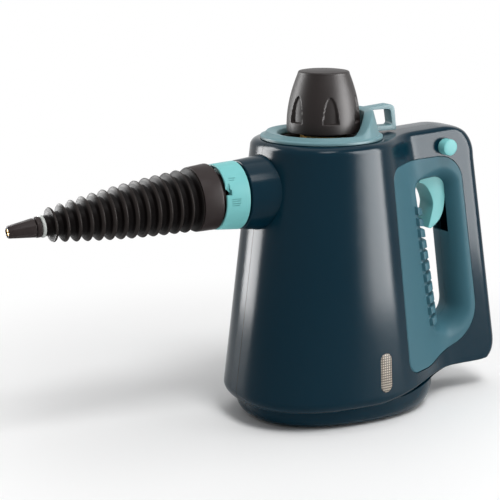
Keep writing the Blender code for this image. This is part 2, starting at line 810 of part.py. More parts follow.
def make_socket(nozzle):
    wall = SOCKET_WALL
    profile = ((socket_radius(SOCKET_BACK), SOCKET_BACK), (SOCKET_FACE_RADIUS, SOCKET_FACE),
               (SPIGOT_RADIUS, SOCKET_FACE), (SPIGOT_RADIUS, SPIGOT_END), (SPIGOT_BORE, SPIGOT_END),
               (SPIGOT_BORE, SPIGOT_FLOOR), (TUBE_RADIUS + GAP, SPIGOT_FLOOR),
               (TUBE_RADIUS + GAP, SPIGOT_FLOOR - wall), (SPIGOT_RADIUS, SPIGOT_FLOOR - wall),
               (SPIGOT_RADIUS, SOCKET_FACE - wall), (SOCKET_FACE_RADIUS - wall, SOCKET_FACE - wall),
               (socket_radius(SOCKET_BACK) - wall, SOCKET_BACK))
    piece("nozzle_socket", turned(profile), FINISHES["body"], nozzle)


def make_collar(nozzle):
    """Locking collar seated on the spigot, with a notch in its front edge."""
    seat = SOCKET_FACE + GAP
    throat = COLLAR_END - COLLAR_THROAT_DEPTH
    profile = ((SPIGOT_RADIUS + GAP, seat), (COLLAR_THROAT, seat), (COLLAR_THROAT, COLLAR_START),
               (COLLAR_BACK_RADIUS, COLLAR_START), (COLLAR_FRONT_RADIUS, COLLAR_END),
               (COLLAR_FRONT_RADIUS - COLLAR_LIP, COLLAR_END), (COLLAR_THROAT, throat),
               (SPIGOT_RADIUS + GAP, throat))
    collar = piece("locking_collar", turned(profile), FINISHES["aqua"], nozzle)
    outside = -COLLAR_FRONT_RADIUS - OVERRUN
    notch = block((NOTCH_X - NOTCH_WIDE / 2, outside, COLLAR_END - NOTCH_DEEP),
                  (NOTCH_X + NOTCH_WIDE / 2, outside + NOTCH_WIDE, COLLAR_END + OVERRUN))
    boolean(collar, cutter("collar_notch", notch, nozzle))


def crest_radius(index):
    """Radius of a crest, the biggest next to the cup; the taper bows out a little."""
    share = index / (CREST_COUNT - 1)
    bow = CREST_BOW * math.sin(math.pi * share)
    return lerp(CREST_BIG, CREST_SMALL, share) + bow


CREST_SHARES = ((0.0, 1.0), (0.5, 0.0))


def bellows_profile():
    """Outer profile: rounded crests with narrow grooves between them."""
    points = []
    for index in range(CREST_COUNT - 1):
        for place, height in CREST_SHARES:
            radius = lerp(crest_radius(index), crest_radius(index + 1), place)
            points.append((radius - GROOVE_DEPTH * (1 - height),
                           FIRST_CREST + (index + place) * CREST_PITCH))
    return points


def make_accessory(parent):
    """Cup, bellows, lance and tip on one line."""
    start, end = CUP_START, CUP_END
    stub = STUB_RADIUS
    bore = LANCE_RADIUS + GAP
    bellows_back = end - SLEEVE_DEEP
    sleeve = CUP_RADIUS - CUP_WALL
    cup = ((bore, -STUB_BACK), (stub, -STUB_BACK), (stub, start), (CUP_BACK_RADIUS - CUP_EDGE, start),
           (CUP_BACK_RADIUS, start + CUP_EDGE), (CUP_RADIUS, end), (sleeve, end),
           (sleeve, bellows_back), (bore, bellows_back))
    cup_piece = piece("nozzle_cup", turned(cup), FINISHES["black"], parent)
    for across in (-1, 1):
        low = min(across * (stub - LUG_HIGH / 2), across * (stub + LUG_HIGH))
        high = max(across * (stub - LUG_HIGH / 2), across * (stub + LUG_HIGH))
        rear = -STUB_BACK + LUG_HIGH
        lug = block((-LUG_WIDE / 2, low, rear), (LUG_WIDE / 2, high, rear + LUG_LONG))
        boolean(cup_piece, cutter(f"lug_{across}", lug, parent), "UNION")
    groove = -SEAL_THICK * 2
    seal = tube(SPIGOT_BORE - RUNNING, stub + GAP, groove, groove + SEAL_THICK, HOSE_STEPS)
    piece("seal_ring", seal, FINISHES["rubber"], parent)
    outer = bellows_profile()
    last = FIRST_CREST + (CREST_COUNT - 1) * CREST_PITCH
    nose = CREST_SMALL - GROOVE_DEPTH
    throat = bore
    inner = [(max(radius - BELLOWS_WALL - GROOVE_DEPTH, throat), height)
             for radius, height in outer[::len(CREST_SHARES)]]
    front = last + CREST_PITCH / 4
    profile = [(sleeve - GAP - BELLOWS_WALL, bellows_back + GAP), (sleeve - GAP, bellows_back + GAP),
               (sleeve - GAP, end + GAP), (crest_radius(0) - GROOVE_DEPTH, end + GAP)]
    profile += outer + [(CREST_SMALL, last), (nose, front), (throat, front)] + inner[::-1]
    piece("bellows", turned(profile, HOSE_STEPS), FINISHES["black"], parent)
    washer = front + GAP
    nut = washer + WASHER_THICK + GAP
    tip = nut + NUT_THICK
    piece("end_washer", tube(WASHER_RADIUS, bore, washer, washer + WASHER_THICK, HOSE_STEPS),
          FINISHES["washer"], parent)
    piece("tip_nut", tube(NUT_RADIUS, bore, nut, tip), FINISHES["black"], parent)
    lance_front = tip + GAP + TIP_LONG / 3
    lance_back = -STUB_BACK + SEAL_THICK
    piece("lance_tube", tube(LANCE_RADIUS, LANCE_BORE, lance_back, lance_front), FINISHES["steel"],
          parent)
    make_tip(parent, tip + GAP, lance_front)


TIP_SIDES = 8


def make_tip(parent, start, lance_front):
    """A faceted, tapering tip with a brass jet in its end."""
    end = start + TIP_LONG
    rings = []
    for height, half in ((start, TIP_BACK_HALF), (end, TIP_FRONT_HALF)):
        reach = half / math.cos(math.pi / TIP_SIDES)
        rings.append([(reach * math.cos(math.pi * (2 * side + 1) / TIP_SIDES),
                       reach * math.sin(math.pi * (2 * side + 1) / TIP_SIDES), height)
                      for side in range(TIP_SIDES)])
    tip = piece("tip", ring_loft(rings), FINISHES["black"], parent)
    back = LANCE_RADIUS + GAP
    boolean(tip, cutter("tip_seat", rod(back, start - OVERRUN, lance_front + GAP), parent))
    boolean(tip, cutter("tip_bore", rod(TIP_BORE, lance_front, end + OVERRUN), parent))
    front = end - JET_HOLE
    piece("brass_jet", tube(JET_RADIUS, JET_HOLE, front - JET_LONG, front, TINY_STEPS),
          FINISHES["brass"], parent)


CAP_CURVE_STEPS = 8
FLUTE_FLOOR_SHARE = 0.62
FLUTE_ARCH_SHARES = ((-1, -0.5), (1, -0.5), (0.92, 0.05), (0.55, 0.35), (0, 0.5), (-0.55, 0.35),
                     (-0.92, 0.05))


def cap_side(share, inward=0.0):
    """A point (radius, height) of the cap's bullet side."""
    radius = lerp(CAP_RADIUS, CAP_TOP_RADIUS, share ** CAP_POWER)
    return radius + CAP_BELLY * math.sin(math.pi * share) - inward, lerp(CAP_BOTTOM, CAP_TOP, share)


def make_cap(parent):
    edge = CAP_EDGE
    outer = [cap_side(step / CAP_CURVE_STEPS) for step in range(CAP_CURVE_STEPS + 1)]
    outer[-1] = (CAP_TOP_RADIUS, CAP_TOP - edge)
    ceiling = CAP_TOP - CAP_WALL
    inner = [cap_side(step / CAP_CURVE_STEPS, CAP_WALL) for step in range(CAP_CURVE_STEPS - 1, -1, -1)]
    top = [(CAP_TOP_RADIUS - edge, CAP_TOP), (CAP_TOP_RADIUS / 2, CAP_TOP + CAP_CROWN * 3 / 4),
           (0, CAP_TOP + CAP_CROWN)]
    inner[0] = (inner[0][0], ceiling)
    cap = piece("safety_cap", turned(outer + top + [(0, ceiling)] + inner), FINISHES["cap"], parent)
    lean = math.atan2(CAP_RADIUS - CAP_TOP_RADIUS, CAP_TOP - CAP_BOTTOM)
    high = FLUTE_TIP - FLUTE_FOOT
    middle = (FLUTE_TIP + FLUTE_FOOT) / 2
    share = (middle - CAP_BOTTOM) / (CAP_TOP - CAP_BOTTOM)
    for number in range(FLUTE_COUNT):
        turn = FLUTE_TURN + number * 2 * math.pi / FLUTE_COUNT
        line = empty(f"flute_line_{number}", parent, (0, 0, middle), (0, 0, turn))
        rings = []
        for depth, scale in ((-FLUTE_DEEP, FLUTE_FLOOR_SHARE), (FLUTE_DEEP, 2 - FLUTE_FLOOR_SHARE)):
            half, tall = FLUTE_HALF * scale, high * scale
            rings.append([(depth, across * half, up * tall) for across, up in FLUTE_ARCH_SHARES])
        spot = (cap_side(share)[0], 0, 0)
        boolean(cap, cutter(f"flute_{number}", ring_loft(rings), line, spot, (0, -lean, 0)))
    stem_top = ceiling - GAP
    shoulder = NECK_TOP + GAP * 2 + GASKET_THICK
    stem = ((0, STEM_BOTTOM), (STEM_RADIUS, STEM_BOTTOM), (STEM_RADIUS, shoulder),
            (STEM_SHOULDER, shoulder), (STEM_SHOULDER, shoulder + GASKET_THICK),
            (STEM_RADIUS, shoulder + GASKET_THICK), (STEM_RADIUS, stem_top), (0, stem_top))
    piece("cap_stem", turned(stem, HOSE_STEPS), FINISHES["plate"], parent)


def make_gasket(parent):
    low = NECK_TOP + GAP
    piece("cap_gasket", tube(GASKET_RADIUS, STEM_RADIUS + GAP, low, low + GASKET_THICK, HOSE_STEPS),
          FINISHES["rubber"], parent)


def make_neck(parent):
    seat = WELL_FLOOR + GAP
    lower = BOILER_TOP + GAP
    profile = ((NECK_BORE, BOILER_TOP - BOILER_ROUND), (NECK_TUBE, BOILER_TOP - BOILER_ROUND),
               (NECK_TUBE, lower), (NECK_RADIUS, lower), (NECK_RADIUS, lower + NECK_SHOULDER),
               (NECK_TUBE, lower + NECK_SHOULDER), (NECK_TUBE, seat), (NECK_RADIUS, seat),
               (NECK_RADIUS, NECK_TOP), (NECK_BORE, NECK_TOP))
    piece("filler_neck", turned(profile, HOSE_STEPS), FINISHES["brass"], parent)


def make_boiler(parent):
    """A thin tank with rounded ends and the neck's hole in its top."""
    outer, inner = [], []
    for step in range(CORNER_STEPS + 1):
        angle = math.pi / 2 * step / CORNER_STEPS
        reach, drop = math.sin(angle), math.cos(angle)
        core = BOILER_RADIUS - BOILER_ROUND
        small = BOILER_ROUND - BOILER_WALL
        low, high = BOILER_BOTTOM + BOILER_ROUND, BOILER_TOP - BOILER_ROUND
        outer.append((core + BOILER_ROUND * reach, low - BOILER_ROUND * drop))
        inner.append((core + small * reach, low - small * drop))
    mirror = [(radius, BOILER_BOTTOM + BOILER_TOP - height) for radius, height in outer[::-1]]
    inside = [(radius, BOILER_BOTTOM + BOILER_TOP - height) for radius, height in inner[::-1]]
    hole = NECK_TUBE + GAP
    profile = [(0, BOILER_BOTTOM)] + outer + mirror
    profile += [(hole, BOILER_TOP), (hole, BOILER_TOP - BOILER_WALL)]
    profile += inside[::-1] + inner[::-1] + [(0, BOILER_BOTTOM + BOILER_WALL)]
    piece("boiler", turned(profile, HOSE_STEPS), FINISHES["steel"], parent)
    piece("insulation_sleeve", tube(SLEEVE_RADIUS, BOILER_RADIUS + GAP, SLEEVE_BOTTOM, SLEEVE_TOP,
                                    HOSE_STEPS), FINISHES["felt"], parent)


def make_heater(parent):
    """Element under the boiler, on a bracket whose legs stand on the base plate."""
    top = BOILER_BOTTOM - GAP
    low = top - HEATER_THICK
    heater = piece("heating_element", rod(HEATER_RADIUS, low, top, HOSE_STEPS), FINISHES["alloy"], parent)
    for across in (-1, 1):
        pin = rod(HEATER_TERMINAL, low - HEATER_TERMINAL_LONG, low + GAP, TINY_STEPS)
        spot = (HEATER_TERMINAL_X, across * HEATER_TERMINAL_X, 0)
        boolean(heater, cutter(f"terminal_{across}", pin, parent, spot), "UNION")
    fuse_line = side_empty("fuse_line", parent, -HEATER_TERMINAL_X, low - FUSE_RADIUS - GAP)
    piece("thermal_fuse", rod(FUSE_RADIUS, -FUSE_LONG / 2, FUSE_LONG / 2, TINY_STEPS),
          FINISHES["ceramic"], fuse_line)
    reach = HEATER_RADIUS + GAP
    shelf = BOILER_BOTTOM - GAP
    rim = BOILER_RADIUS - BOILER_ROUND + BRACKET_RING
    ring = tube(max(rim, reach) + BRACKET_RING, reach, shelf - BRACKET_SHELF, shelf, HOSE_STEPS)
    bracket = piece("boiler_bracket", ring, FINISHES["steel"], parent)
    stand = FOOT_LIFT + PLATE_THICK + GAP
    for leg in range(BRACKET_LEGS):
        angle = math.pi + leg * 2 * math.pi / BRACKET_LEGS
        radius = reach + BRACKET_LEG
        spot = (radius * math.cos(angle), radius * math.sin(angle), 0)
        post = rod(BRACKET_LEG - GAP, stand, shelf - GAP, TINY_STEPS)
        boolean(bracket, cutter(f"leg_{leg}", post, parent, spot), "UNION")


def make_thermostat(parent):
    """A disc thermostat under the middle of the heating element."""
    height = BOILER_BOTTOM - GAP - HEATER_THICK - GAP - THERMOSTAT_THICK
    piece("thermostat", rod(THERMOSTAT_RADIUS, height, height + THERMOSTAT_THICK),
          FINISHES["plate"], parent)


def make_trigger(parent, pivot):
    """Finger piece, hub and a short arm that works the valve."""
    outline = TRIGGER_FRONT + TRIGGER_BACK
    local = [(x - PIVOT_X, z - PIVOT_Z) for x, z in outline]
    trigger = piece("trigger", slab(local, -TRIGGER_HALF, TRIGGER_HALF), FINISHES["aqua"], pivot)
    line = side_empty("hub_line", pivot, 0, 0)
    boolean(trigger, cutter("hub", rod(HUB_RADIUS, -TRIGGER_HALF, TRIGGER_HALF), line), "UNION")
    arm = block((-ARM_THICK / 2, -ARM_HALF, 0), (ARM_THICK / 2, ARM_HALF, ARM_TOP - PIVOT_Z))
    boolean(trigger, cutter("arm", arm, pivot), "UNION")
    wide = TRIGGER_HALF + OVERRUN
    boolean(trigger, cutter("pin_hole", rod(PIN_RADIUS + RUNNING, -wide, wide, TINY_STEPS), line))
    still = side_empty("pin_line", parent, PIVOT_X, PIVOT_Z)
    piece("trigger_pin", rod(PIN_RADIUS, -PIN_HALF, PIN_HALF, TINY_STEPS), FINISHES["steel"], still)
    near = TRIGGER_HALF + RUNNING
    spring = tube(PIN_RADIUS + GAP + SPRING_THICK, PIN_RADIUS + GAP, near, near + SPRING_WIDE, TINY_STEPS)
    coil = piece("trigger_spring", spring, FINISHES["steel"], still)
    reach = PIN_RADIUS + GAP + SPRING_THICK / 2
    leg = block((reach, -SPRING_THICK / 2, near + SPRING_THICK),
                (reach + SPRING_LEG, SPRING_THICK / 2, near + SPRING_WIDE - SPRING_THICK))
    boolean(coil, cutter("spring_leg", leg, still), "UNION")


def make_button(bolt):
    """Cross bolt, chamfered at both ends and necked where the arm and rod pass."""
    left = -HANDLE_HALF - BUTTON_PROUD
    right = HANDLE_HALF + BUTTON_PROUD - BUTTON_TRAVEL
    neck = BUTTON_NECK_HALF + BUTTON_TRAVEL
    inner = BUTTON_RADIUS - BUTTON_CHAMFER
    profile = ((0, left), (inner, left), (BUTTON_RADIUS, left + BUTTON_CHAMFER), (BUTTON_RADIUS, -neck),
               (BUTTON_NECK, -neck), (BUTTON_NECK, BUTTON_NECK_HALF), (BUTTON_RADIUS, BUTTON_NECK_HALF),
               (BUTTON_RADIUS, right - BUTTON_CHAMFER), (inner, right), (0, right))
    piece("lock_button", turned(profile, HOSE_STEPS), FINISHES["aqua"], bolt)


def make_valve(parent, rod_empty):
    low = (VALVE_FRONT, -VALVE_HALF_WIDE, VALVE_Z - VALVE_HALF_HIGH)
    high = (VALVE_BACK, VALVE_HALF_WIDE, VALVE_Z + VALVE_HALF_HIGH)
    valve = piece("steam_valve", block(low, high), FINISHES["brass"], parent)
    line = empty("valve_line", parent, (VALVE_BACK, 0, VALVE_Z), (0, -math.pi / 2, 0))
    deep = ROD_TUCK + BUTTON_NECK
    boolean(valve, cutter("rod_bore", rod(ROD_RADIUS + RUNNING, -OVERRUN, deep, TINY_STEPS), line))
    front = PIVOT_X - ARM_THICK / 2 - GAP
    piece("valve_rod", rod(ROD_RADIUS, VALVE_BACK - front, ROD_TUCK, TINY_STEPS), FINISHES["steel"],
          rod_empty)


def make_steam_tubes(parent):
    """One tube from the tank to the valve, one round the tank to the nozzle."""
    level = VALVE_Z
    front = VALVE_FRONT - GAP
    side = TUBE_ROUND_BOILER
    first = [(front, VALVE_NECK, level), (front - NECK_SHOULDER, VALVE_NECK, level)]
    for step in range(TUBE_STEPS + 1):
        angle = lerp(TUBE_FROM, TUBE_TO, step / TUBE_STEPS)
        height = lerp(level, NOZZLE_Z, step / TUBE_STEPS)
        first.append((side * math.cos(angle), side * math.sin(angle), height))
    outlet = -SPIGOT_FLOOR + SOCKET_WALL / 2
    first += [(-side, TUBE_ENTRY, NOZZLE_Z), (outlet + WALL + WALL, 0, NOZZLE_Z), (outlet, 0, NOZZLE_Z)]
    pipe("steam_tube_out", first, parent)
    top = BOILER_TOP + GAP
    start = BOILER_RADIUS - BOILER_ROUND - TUBE_RADIUS
    second = [(start, 0, top), (start, 0, top + TUBE_RADIUS),
              (start + TUBE_RADIUS * 2, -VALVE_NECK / 2, level + TUBE_RADIUS * 2),
              (front - NECK_SHOULDER * 2, -VALVE_NECK, level), (front, -VALVE_NECK, level)]
    pipe("steam_tube_in", second, parent)


def pipe(name, points, parent):
    """A curve with a round bevel and filled ends."""
    curve = bpy.data.curves.new(name, "CURVE")
    curve.dimensions = "3D"
    curve.bevel_depth = TUBE_RADIUS
    curve.bevel_resolution = 2
    curve.use_fill_caps = True
    spline = curve.splines.new("POLY")
    spline.points.add(len(points) - 1)
    for spot, point in zip(spline.points, points):
        spot.co = (*point, 1)
    curve.materials.append(FINISHES["hose"])
    made = bpy.data.objects.new(name, curve)
    bpy.context.collection.objects.link(made)
    made.parent = parent
    return made


def make_terminal_block(parent):
    low = (BLOCK_X - BLOCK_LONG / 2, -BLOCK_HALF_WIDE, BLOCK_Z - BLOCK_HIGH / 2)
    high = (BLOCK_X + BLOCK_LONG / 2, BLOCK_HALF_WIDE, BLOCK_Z + BLOCK_HIGH / 2)
    piece("terminal_block", block(low, high), FINISHES["ceramic"], parent)


def make_gland(parent):
    line = gland_empty("gland_line", parent)
    profile = ((GLAND_BORE, -GLAND_LONG), (GLAND_RADIUS, -GLAND_LONG), (GLAND_RADIUS, GAP),
               (GLAND_FLANGE, GAP), (GLAND_FLANGE - GLAND_PROUD / 2, GLAND_PROUD), (GLAND_BORE, GLAND_PROUD))
    piece("cord_gland", turned(profile, SMALL_STEPS), FINISHES["rubber"], line)


DISH_STEPS = 48


def dish_lift(angle):
    """0 in front and at the sides of the dish, 1 at its back lip."""
    along = DISH_RIM * math.cos(angle)
    share = min(max((along - DISH_RISE_START) / (DISH_RISE_END - DISH_RISE_START), 0), 1)
    return share * share * (3 - 2 * share)


def dish_section(angle):
    """Flange, slanted wall, broad rim that falls inward, and bore."""
    lift = dish_lift(angle)
    base = TOP + GAP
    rim_z = lerp(DISH_FRONT_Z, DISH_BACK_Z, lift)
    rim = lerp(DISH_RIM, DISH_LIP, lift)
    inner = rim - lerp(DISH_RIM_WIDE, DISH_LIP_WIDE, lift)
    edge = DISH_RIM_ROUND
    section = ((DISH_FLANGE, base), (DISH_FLANGE, base + DISH_FLANGE_THICK),
               (DISH_WALL_FOOT, base + DISH_FLANGE_THICK + edge / 2),
               (rim + edge * 2 / 3, rim_z - edge), (rim - edge / 3, rim_z),
               (rim - edge * 3 / 2, rim_z), (inner + edge / 2, rim_z - DISH_RIM_DROP),
               (inner, rim_z - DISH_RIM_DROP - edge / 2), (DISH_BORE, base + edge), (DISH_BORE, base))
    return [(radius * math.cos(angle), radius * math.sin(angle), height) for radius, height in section]


def make_dish(parent):
    rings = [dish_section(2 * math.pi * step / DISH_STEPS) for step in range(DISH_STEPS)]
    dish = piece("top_dish", ring_loft(rings, loop=True), FINISHES["grey_teal"], parent, (DISH_X, 0, 0))
    foot = TOP + DISH_FLANGE_THICK + GAP
    deck = TOP + (LOOP_BACK - TOP_RISE_START) * TOP_RISE + GAP
    foot = max(foot, deck)
    corner = LOOP_CORNER
    shape = ((LOOP_ROOT, LOOP_TOP - corner, corner / 4), (LOOP_SHOULDER, LOOP_TOP, corner * 2),
             (LOOP_BACK, LOOP_HOLE_TOP, corner * 3), (LOOP_BACK, foot, corner / 2),
             (LOOP_ROOT, foot, corner / 4))
    hole = ((LOOP_HOLE_FRONT - corner, LOOP_HOLE_TOP, corner / 2),
            (LOOP_HOLE_BACK - corner, LOOP_HOLE_TOP, corner),
            (LOOP_HOLE_BACK, LOOP_HOLE_BOTTOM, corner), (LOOP_HOLE_FRONT, LOOP_HOLE_BOTTOM, corner / 2))
    plain = ((), (), (), (), ())
    boolean(dish, cutter("loop", slab(rounded(shape, 3, plain), -LOOP_HALF, LOOP_HALF), parent), "UNION")
    wide = LOOP_HALF + OVERRUN
    boolean(dish, cutter("loop_hole", slab(rounded(hole, 3, plain), -wide, wide), parent))


def make_well(parent):
    """Black funnel floor between the dish and the filler neck."""
    top = TOP - GAP
    thick = WELL_THICK
    neck = NECK_TUBE + GAP
    profile = ((neck, WELL_FLOOR - thick), (WELL_RADIUS + thick, WELL_FLOOR - thick),
               (WELL_RADIUS + thick, top - thick), (WELL_RIM, top - thick), (WELL_RIM, top),
               (WELL_RADIUS, top), (WELL_RADIUS, WELL_FLOOR), (neck, WELL_FLOOR))
    piece("neck_well", turned(profile), FINISHES["black"], parent)


def evaluated_reach():
    """Lowest and highest x of everything that is built."""
    bpy.context.view_layer.update()
    graph = bpy.context.evaluated_depsgraph_get()
    ends = []
    for obj in bpy.data.objects:
        if obj.type == "MESH" and not obj.hide_render:
            shape = obj.evaluated_get(graph)
            ends += [(shape.matrix_world @ vert.co).x for vert in shape.data.vertices]
    return min(ends), max(ends)


FINISHES = {}


def make_finishes():
    FINISHES["guide"] = finish("guide", (0.5, 0.5, 0.5), 0.5)
    FINISHES["body"] = finish("petrol_plastic", (0.010, 0.062, 0.120), 0.33)
    FINISHES["teal"] = finish("teal_plastic", (0.035, 0.205, 0.235), 0.45)
    FINISHES["grey_teal"] = finish("grey_teal_plastic", (0.20, 0.34, 0.37), 0.45)
    FINISHES["aqua"] = finish("aqua_plastic", (0.06, 0.47, 0.50), 0.38)
    FINISHES["black"] = finish("black_plastic", (0.012, 0.012, 0.013), 0.50)
    FINISHES["cap"] = finish("charcoal_plastic", (0.045, 0.042, 0.040), 0.42)
    FINISHES["washer"] = finish("pale_plastic", (0.55, 0.56, 0.54), 0.50)
    FINISHES["lens"] = finish("beige_lens", (0.62, 0.56, 0.42), 0.25)
    FINISHES["lamp"] = finish("lamp_glass", (0.75, 0.35, 0.12), 0.20)
    FINISHES["plate"] = finish("inner_plastic", (0.05, 0.05, 0.055), 0.55)
    FINISHES["rubber"] = finish("rubber", (0.02, 0.02, 0.02), 0.80)
    FINISHES["brass"] = finish("brass", (0.66, 0.43, 0.15), 0.30, 1.0)
    FINISHES["steel"] = finish("steel", (0.56, 0.57, 0.58), 0.30, 1.0)
    FINISHES["alloy"] = finish("cast_alloy", (0.62, 0.63, 0.64), 0.50, 1.0)
    FINISHES["felt"] = finish("felt", (0.60, 0.57, 0.50), 0.90)
    FINISHES["ceramic"] = finish("ceramic", (0.75, 0.74, 0.70), 0.60)
    FINISHES["hose"] = finish("silicone", (0.70, 0.69, 0.66), 0.45)


def build():
    clear_scene()
    make_finishes()
    root = empty("root")
    nozzle = nozzle_empty("nozzle_line", root)
    left = make_shell("left_shell", -1, root, nozzle)
    make_shell("right_shell", 1, root, nozzle)
    make_lens(left, root)
    make_screws(root)
    make_base(root)
    make_grip_frame("grip_frame_left", -1, root)
    make_grip_frame("grip_frame_right", 1, root)
    make_dish(root)
    make_well(root)
    make_neck(root)
    make_boiler(root)
    make_heater(root)
    make_thermostat(root)
    rise = empty("cap_rise_line", root)
    make_gasket(rise)
    make_cap(empty("cap_turn_line", rise))
    make_trigger(root, empty("trigger_line", root, (PIVOT_X, 0, PIVOT_Z)))
    make_button(side_empty("bolt_line", root, BUTTON_X, BUTTON_Z))
    make_valve(root, empty("rod_line", root, (VALVE_BACK, 0, VALVE_Z), (0, -math.pi / 2, 0)))
    make_steam_tubes(root)
    make_terminal_block(root)
    make_gland(root)
    make_socket(nozzle)
    make_collar(nozzle)
    make_accessory(empty("accessory_line", nozzle, (0, 0, BAYONET), (0, -DROOP, 0)))
    low, high = evaluated_reach()
    root.location.x = -(low + high) / 2


build()
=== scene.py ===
"""Looks for the handheld steam cleaner, laid out as an add-on and run as a script."""
import math

import bmesh
import bpy
from bpy.props import FloatProperty, FloatVectorProperty, PointerProperty
from mathutils import Matrix, Vector


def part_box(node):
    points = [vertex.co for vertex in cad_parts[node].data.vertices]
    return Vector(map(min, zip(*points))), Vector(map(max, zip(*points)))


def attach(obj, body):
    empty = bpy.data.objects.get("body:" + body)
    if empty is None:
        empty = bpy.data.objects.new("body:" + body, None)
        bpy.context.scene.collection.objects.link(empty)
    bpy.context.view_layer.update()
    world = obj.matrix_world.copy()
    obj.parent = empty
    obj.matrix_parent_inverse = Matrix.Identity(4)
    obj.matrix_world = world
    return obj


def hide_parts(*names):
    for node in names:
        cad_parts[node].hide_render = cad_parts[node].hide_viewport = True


bl_info = {
    "name": "Handheld Steam Cleaner",
    "version": (1, 0, 0),
    "blender": (4, 5, 0),
    "location": "View3D > Sidebar > Steam Cleaner",
    "description": "Builds the shells, grip, cap, nozzle and finishes of a handheld steam cleaner",
    "category": "Object",
}

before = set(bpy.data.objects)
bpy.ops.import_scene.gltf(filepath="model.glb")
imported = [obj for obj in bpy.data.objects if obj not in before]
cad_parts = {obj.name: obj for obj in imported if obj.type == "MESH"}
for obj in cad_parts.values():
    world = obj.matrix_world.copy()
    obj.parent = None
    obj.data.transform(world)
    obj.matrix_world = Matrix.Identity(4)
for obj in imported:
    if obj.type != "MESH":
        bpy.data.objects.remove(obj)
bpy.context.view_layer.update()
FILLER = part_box("filler_neck")
SHIFT = (FILLER[0].x + FILLER[1].x) / 2

# Sizes in metres, from the filler's axis, the seam and the floor
GAP = 0.0003
SEAM_HALF = 0.00015
CUT_PAST = 0.001

# Radii of softened edges, from sharp to round
SHARP_EDGE = 0.0002
CRISP_EDGE = 0.0003
NEAT_EDGE = 0.0004
PLAIN_EDGE = 0.0005
EASY_EDGE = 0.0006
SOFT_EDGE = 0.0007
BROAD_EDGE = 0.0008
MOUTH_EDGE = 0.0012

# Body shells
WALL = 0.0026
TOP = 0.2045
WALL_FOOT = 0.024
FRONT_TOP = 0.0495
FRONT_FOOT = 0.0715
WIDE_TOP = 0.050
WIDE_FOOT = 0.0615
WIDEST_TOP_X = 0.001
WIDEST_FOOT_X = 0.007
SHOULDER_TOP = 0.066
SHOULDER_FOOT = 0.105
FRONT_POWER = 2.5
SHOULDER_POWER = 1.3
EDGE_RADIUS = 0.0055
TURN_IN = 0.0048
TURN_IN_HEIGHT = 0.0086
TURN_POWER = 2.4
HANDLE_HALF = 0.019
HANDLE_CORNER = 0.012
CORNER_POWER = 2.6
BACK_X = 0.126
BACK_TOP = 0.185
BACK_FOOT = 0.043
BACK_LEAN = 0.168
BACK_TOP_ROUND = 0.023
BACK_FOOT_ROUND = 0.022
BACK_TOP_POWER = 1.85
BACK_FOOT_POWER = 2.5
UNDERSIDE = 0.020
UNDERSIDE_SLOPE = 3.8
TOP_RISE = 0.066
TOP_RISE_START = 0.0450

# Foot and its pads
FOOT_X = 0.012
FOOT_LONG = 0.076
FOOT_WIDE = 0.056
FOOT_POWER = 2.3
FOOT_SEAM = 0.0148
FOOT_LIFT = 0.001
FOOT_TUCK = 0.0105
FOOT_BOWL = 0.0128
FOOT_RISE = 0.0068
FOOT_RISE_START = 0.01
FOOT_RISE_LONG = 0.065
PAD_RADIUS = 0.007
PAD_HEIGHT = 0.0024
PAD_X = 0.046
PAD_Y = 0.026

# Grip panels and hand opening
PANEL_CORNERS = ((0.033, 0.184, 0.009), (0.1076, 0.1875, 0.022), (0.1303, 0.047, 0.030),
                 (0.078, 0.0298, 0.040), (0.0446, 0.033, 0.012))
OPENING_CORNERS = ((0.071, 0.168, 0.008), (0.099, 0.168, 0.008), (0.1135, 0.0595, 0.012),
                   (0.100, 0.0565, 0.012), (0.0905, 0.0555, 0.006))
PANEL_SINK = 0.0007
ROLL_WIDTHS = (0.010, 0.011, 0.0125, 0.012, 0.011)
ROLL_LIMIT_SHARE = 0.82
FRAME_THICK = 0.0025
RIB_COUNT = 11
RIB_HEIGHT = 0.0034
RIB_ON_FACE = 0.5
RIBBED_SHARE = 0.90
RIB_SHARES = ((0.0, 0.0), (0.26, 0.0), (0.28, 0.1), (0.30, 0.9), (0.33, 1.0), (0.90, 1.0),
              (0.94, 0.95), (0.96, 0.6), (0.99, 0.05))

# Trigger, lock bolt and window
PIVOT_X = 0.100
PIVOT_Z = 0.1765
PIN_RADIUS = 0.002
HUB_RADIUS = 0.0048
TRIGGER_HALF = 0.009
TRIGGER_EDGE = 0.0013
ARM_HALF = 0.003
ARM_THICK = 0.004
ARM_TOP = 0.1862
TRIGGER_FRONT = ((0.078, 0.1659), (0.0827, 0.1647), (0.0872, 0.160), (0.0908, 0.1531),
                 (0.0919, 0.1471), (0.0903, 0.1391), (0.088, 0.1305))
TRIGGER_BACK = ((0.0906, 0.1299), (0.0975, 0.1355), (0.1008, 0.1418), (0.1023, 0.1505),
                (0.1023, 0.1600))
TRIGGER_HEEL = ((0.1040, 0.1700), (0.1040, 0.1755), (0.0965, 0.1755), (0.0940, 0.1700),
                (0.0813, 0.1699))
SLOT_CORNERS = ((0.0765, 0.163), (0.0765, 0.1745), (0.118, 0.1745), (0.118, 0.1255),
                (0.100, 0.1255), (0.090, 0.163))
BUTTON_X = 0.0944
BUTTON_Z = 0.1936
BUTTON_RADIUS = 0.00605
BUTTON_PROUD = 0.0075
BUTTON_TRAVEL = 0.007
BUTTON_NECK = 0.003
BUTTON_NECK_HALF = 0.0045
BUTTON_CHAMFER = 0.0007
BUTTON_FLAT = 0.6
DOME_FLAT = 0.1
DOME_SIDE = 0.7
LENS_X = 0.0193
LENS_Z = 0.040
LENS_HALF_WIDTH = 0.0048
LENS_HALF_HEIGHT = 0.0142
LENS_PROUD = 0.0003
LENS_THICK = 0.0022
LENS_EDGES = ((LENS_PROUD / 2, 0.0004), (LENS_PROUD, 0.0009))
GRID_PITCH = 0.0018
GRID_EDGES = (0.26, 0.38)

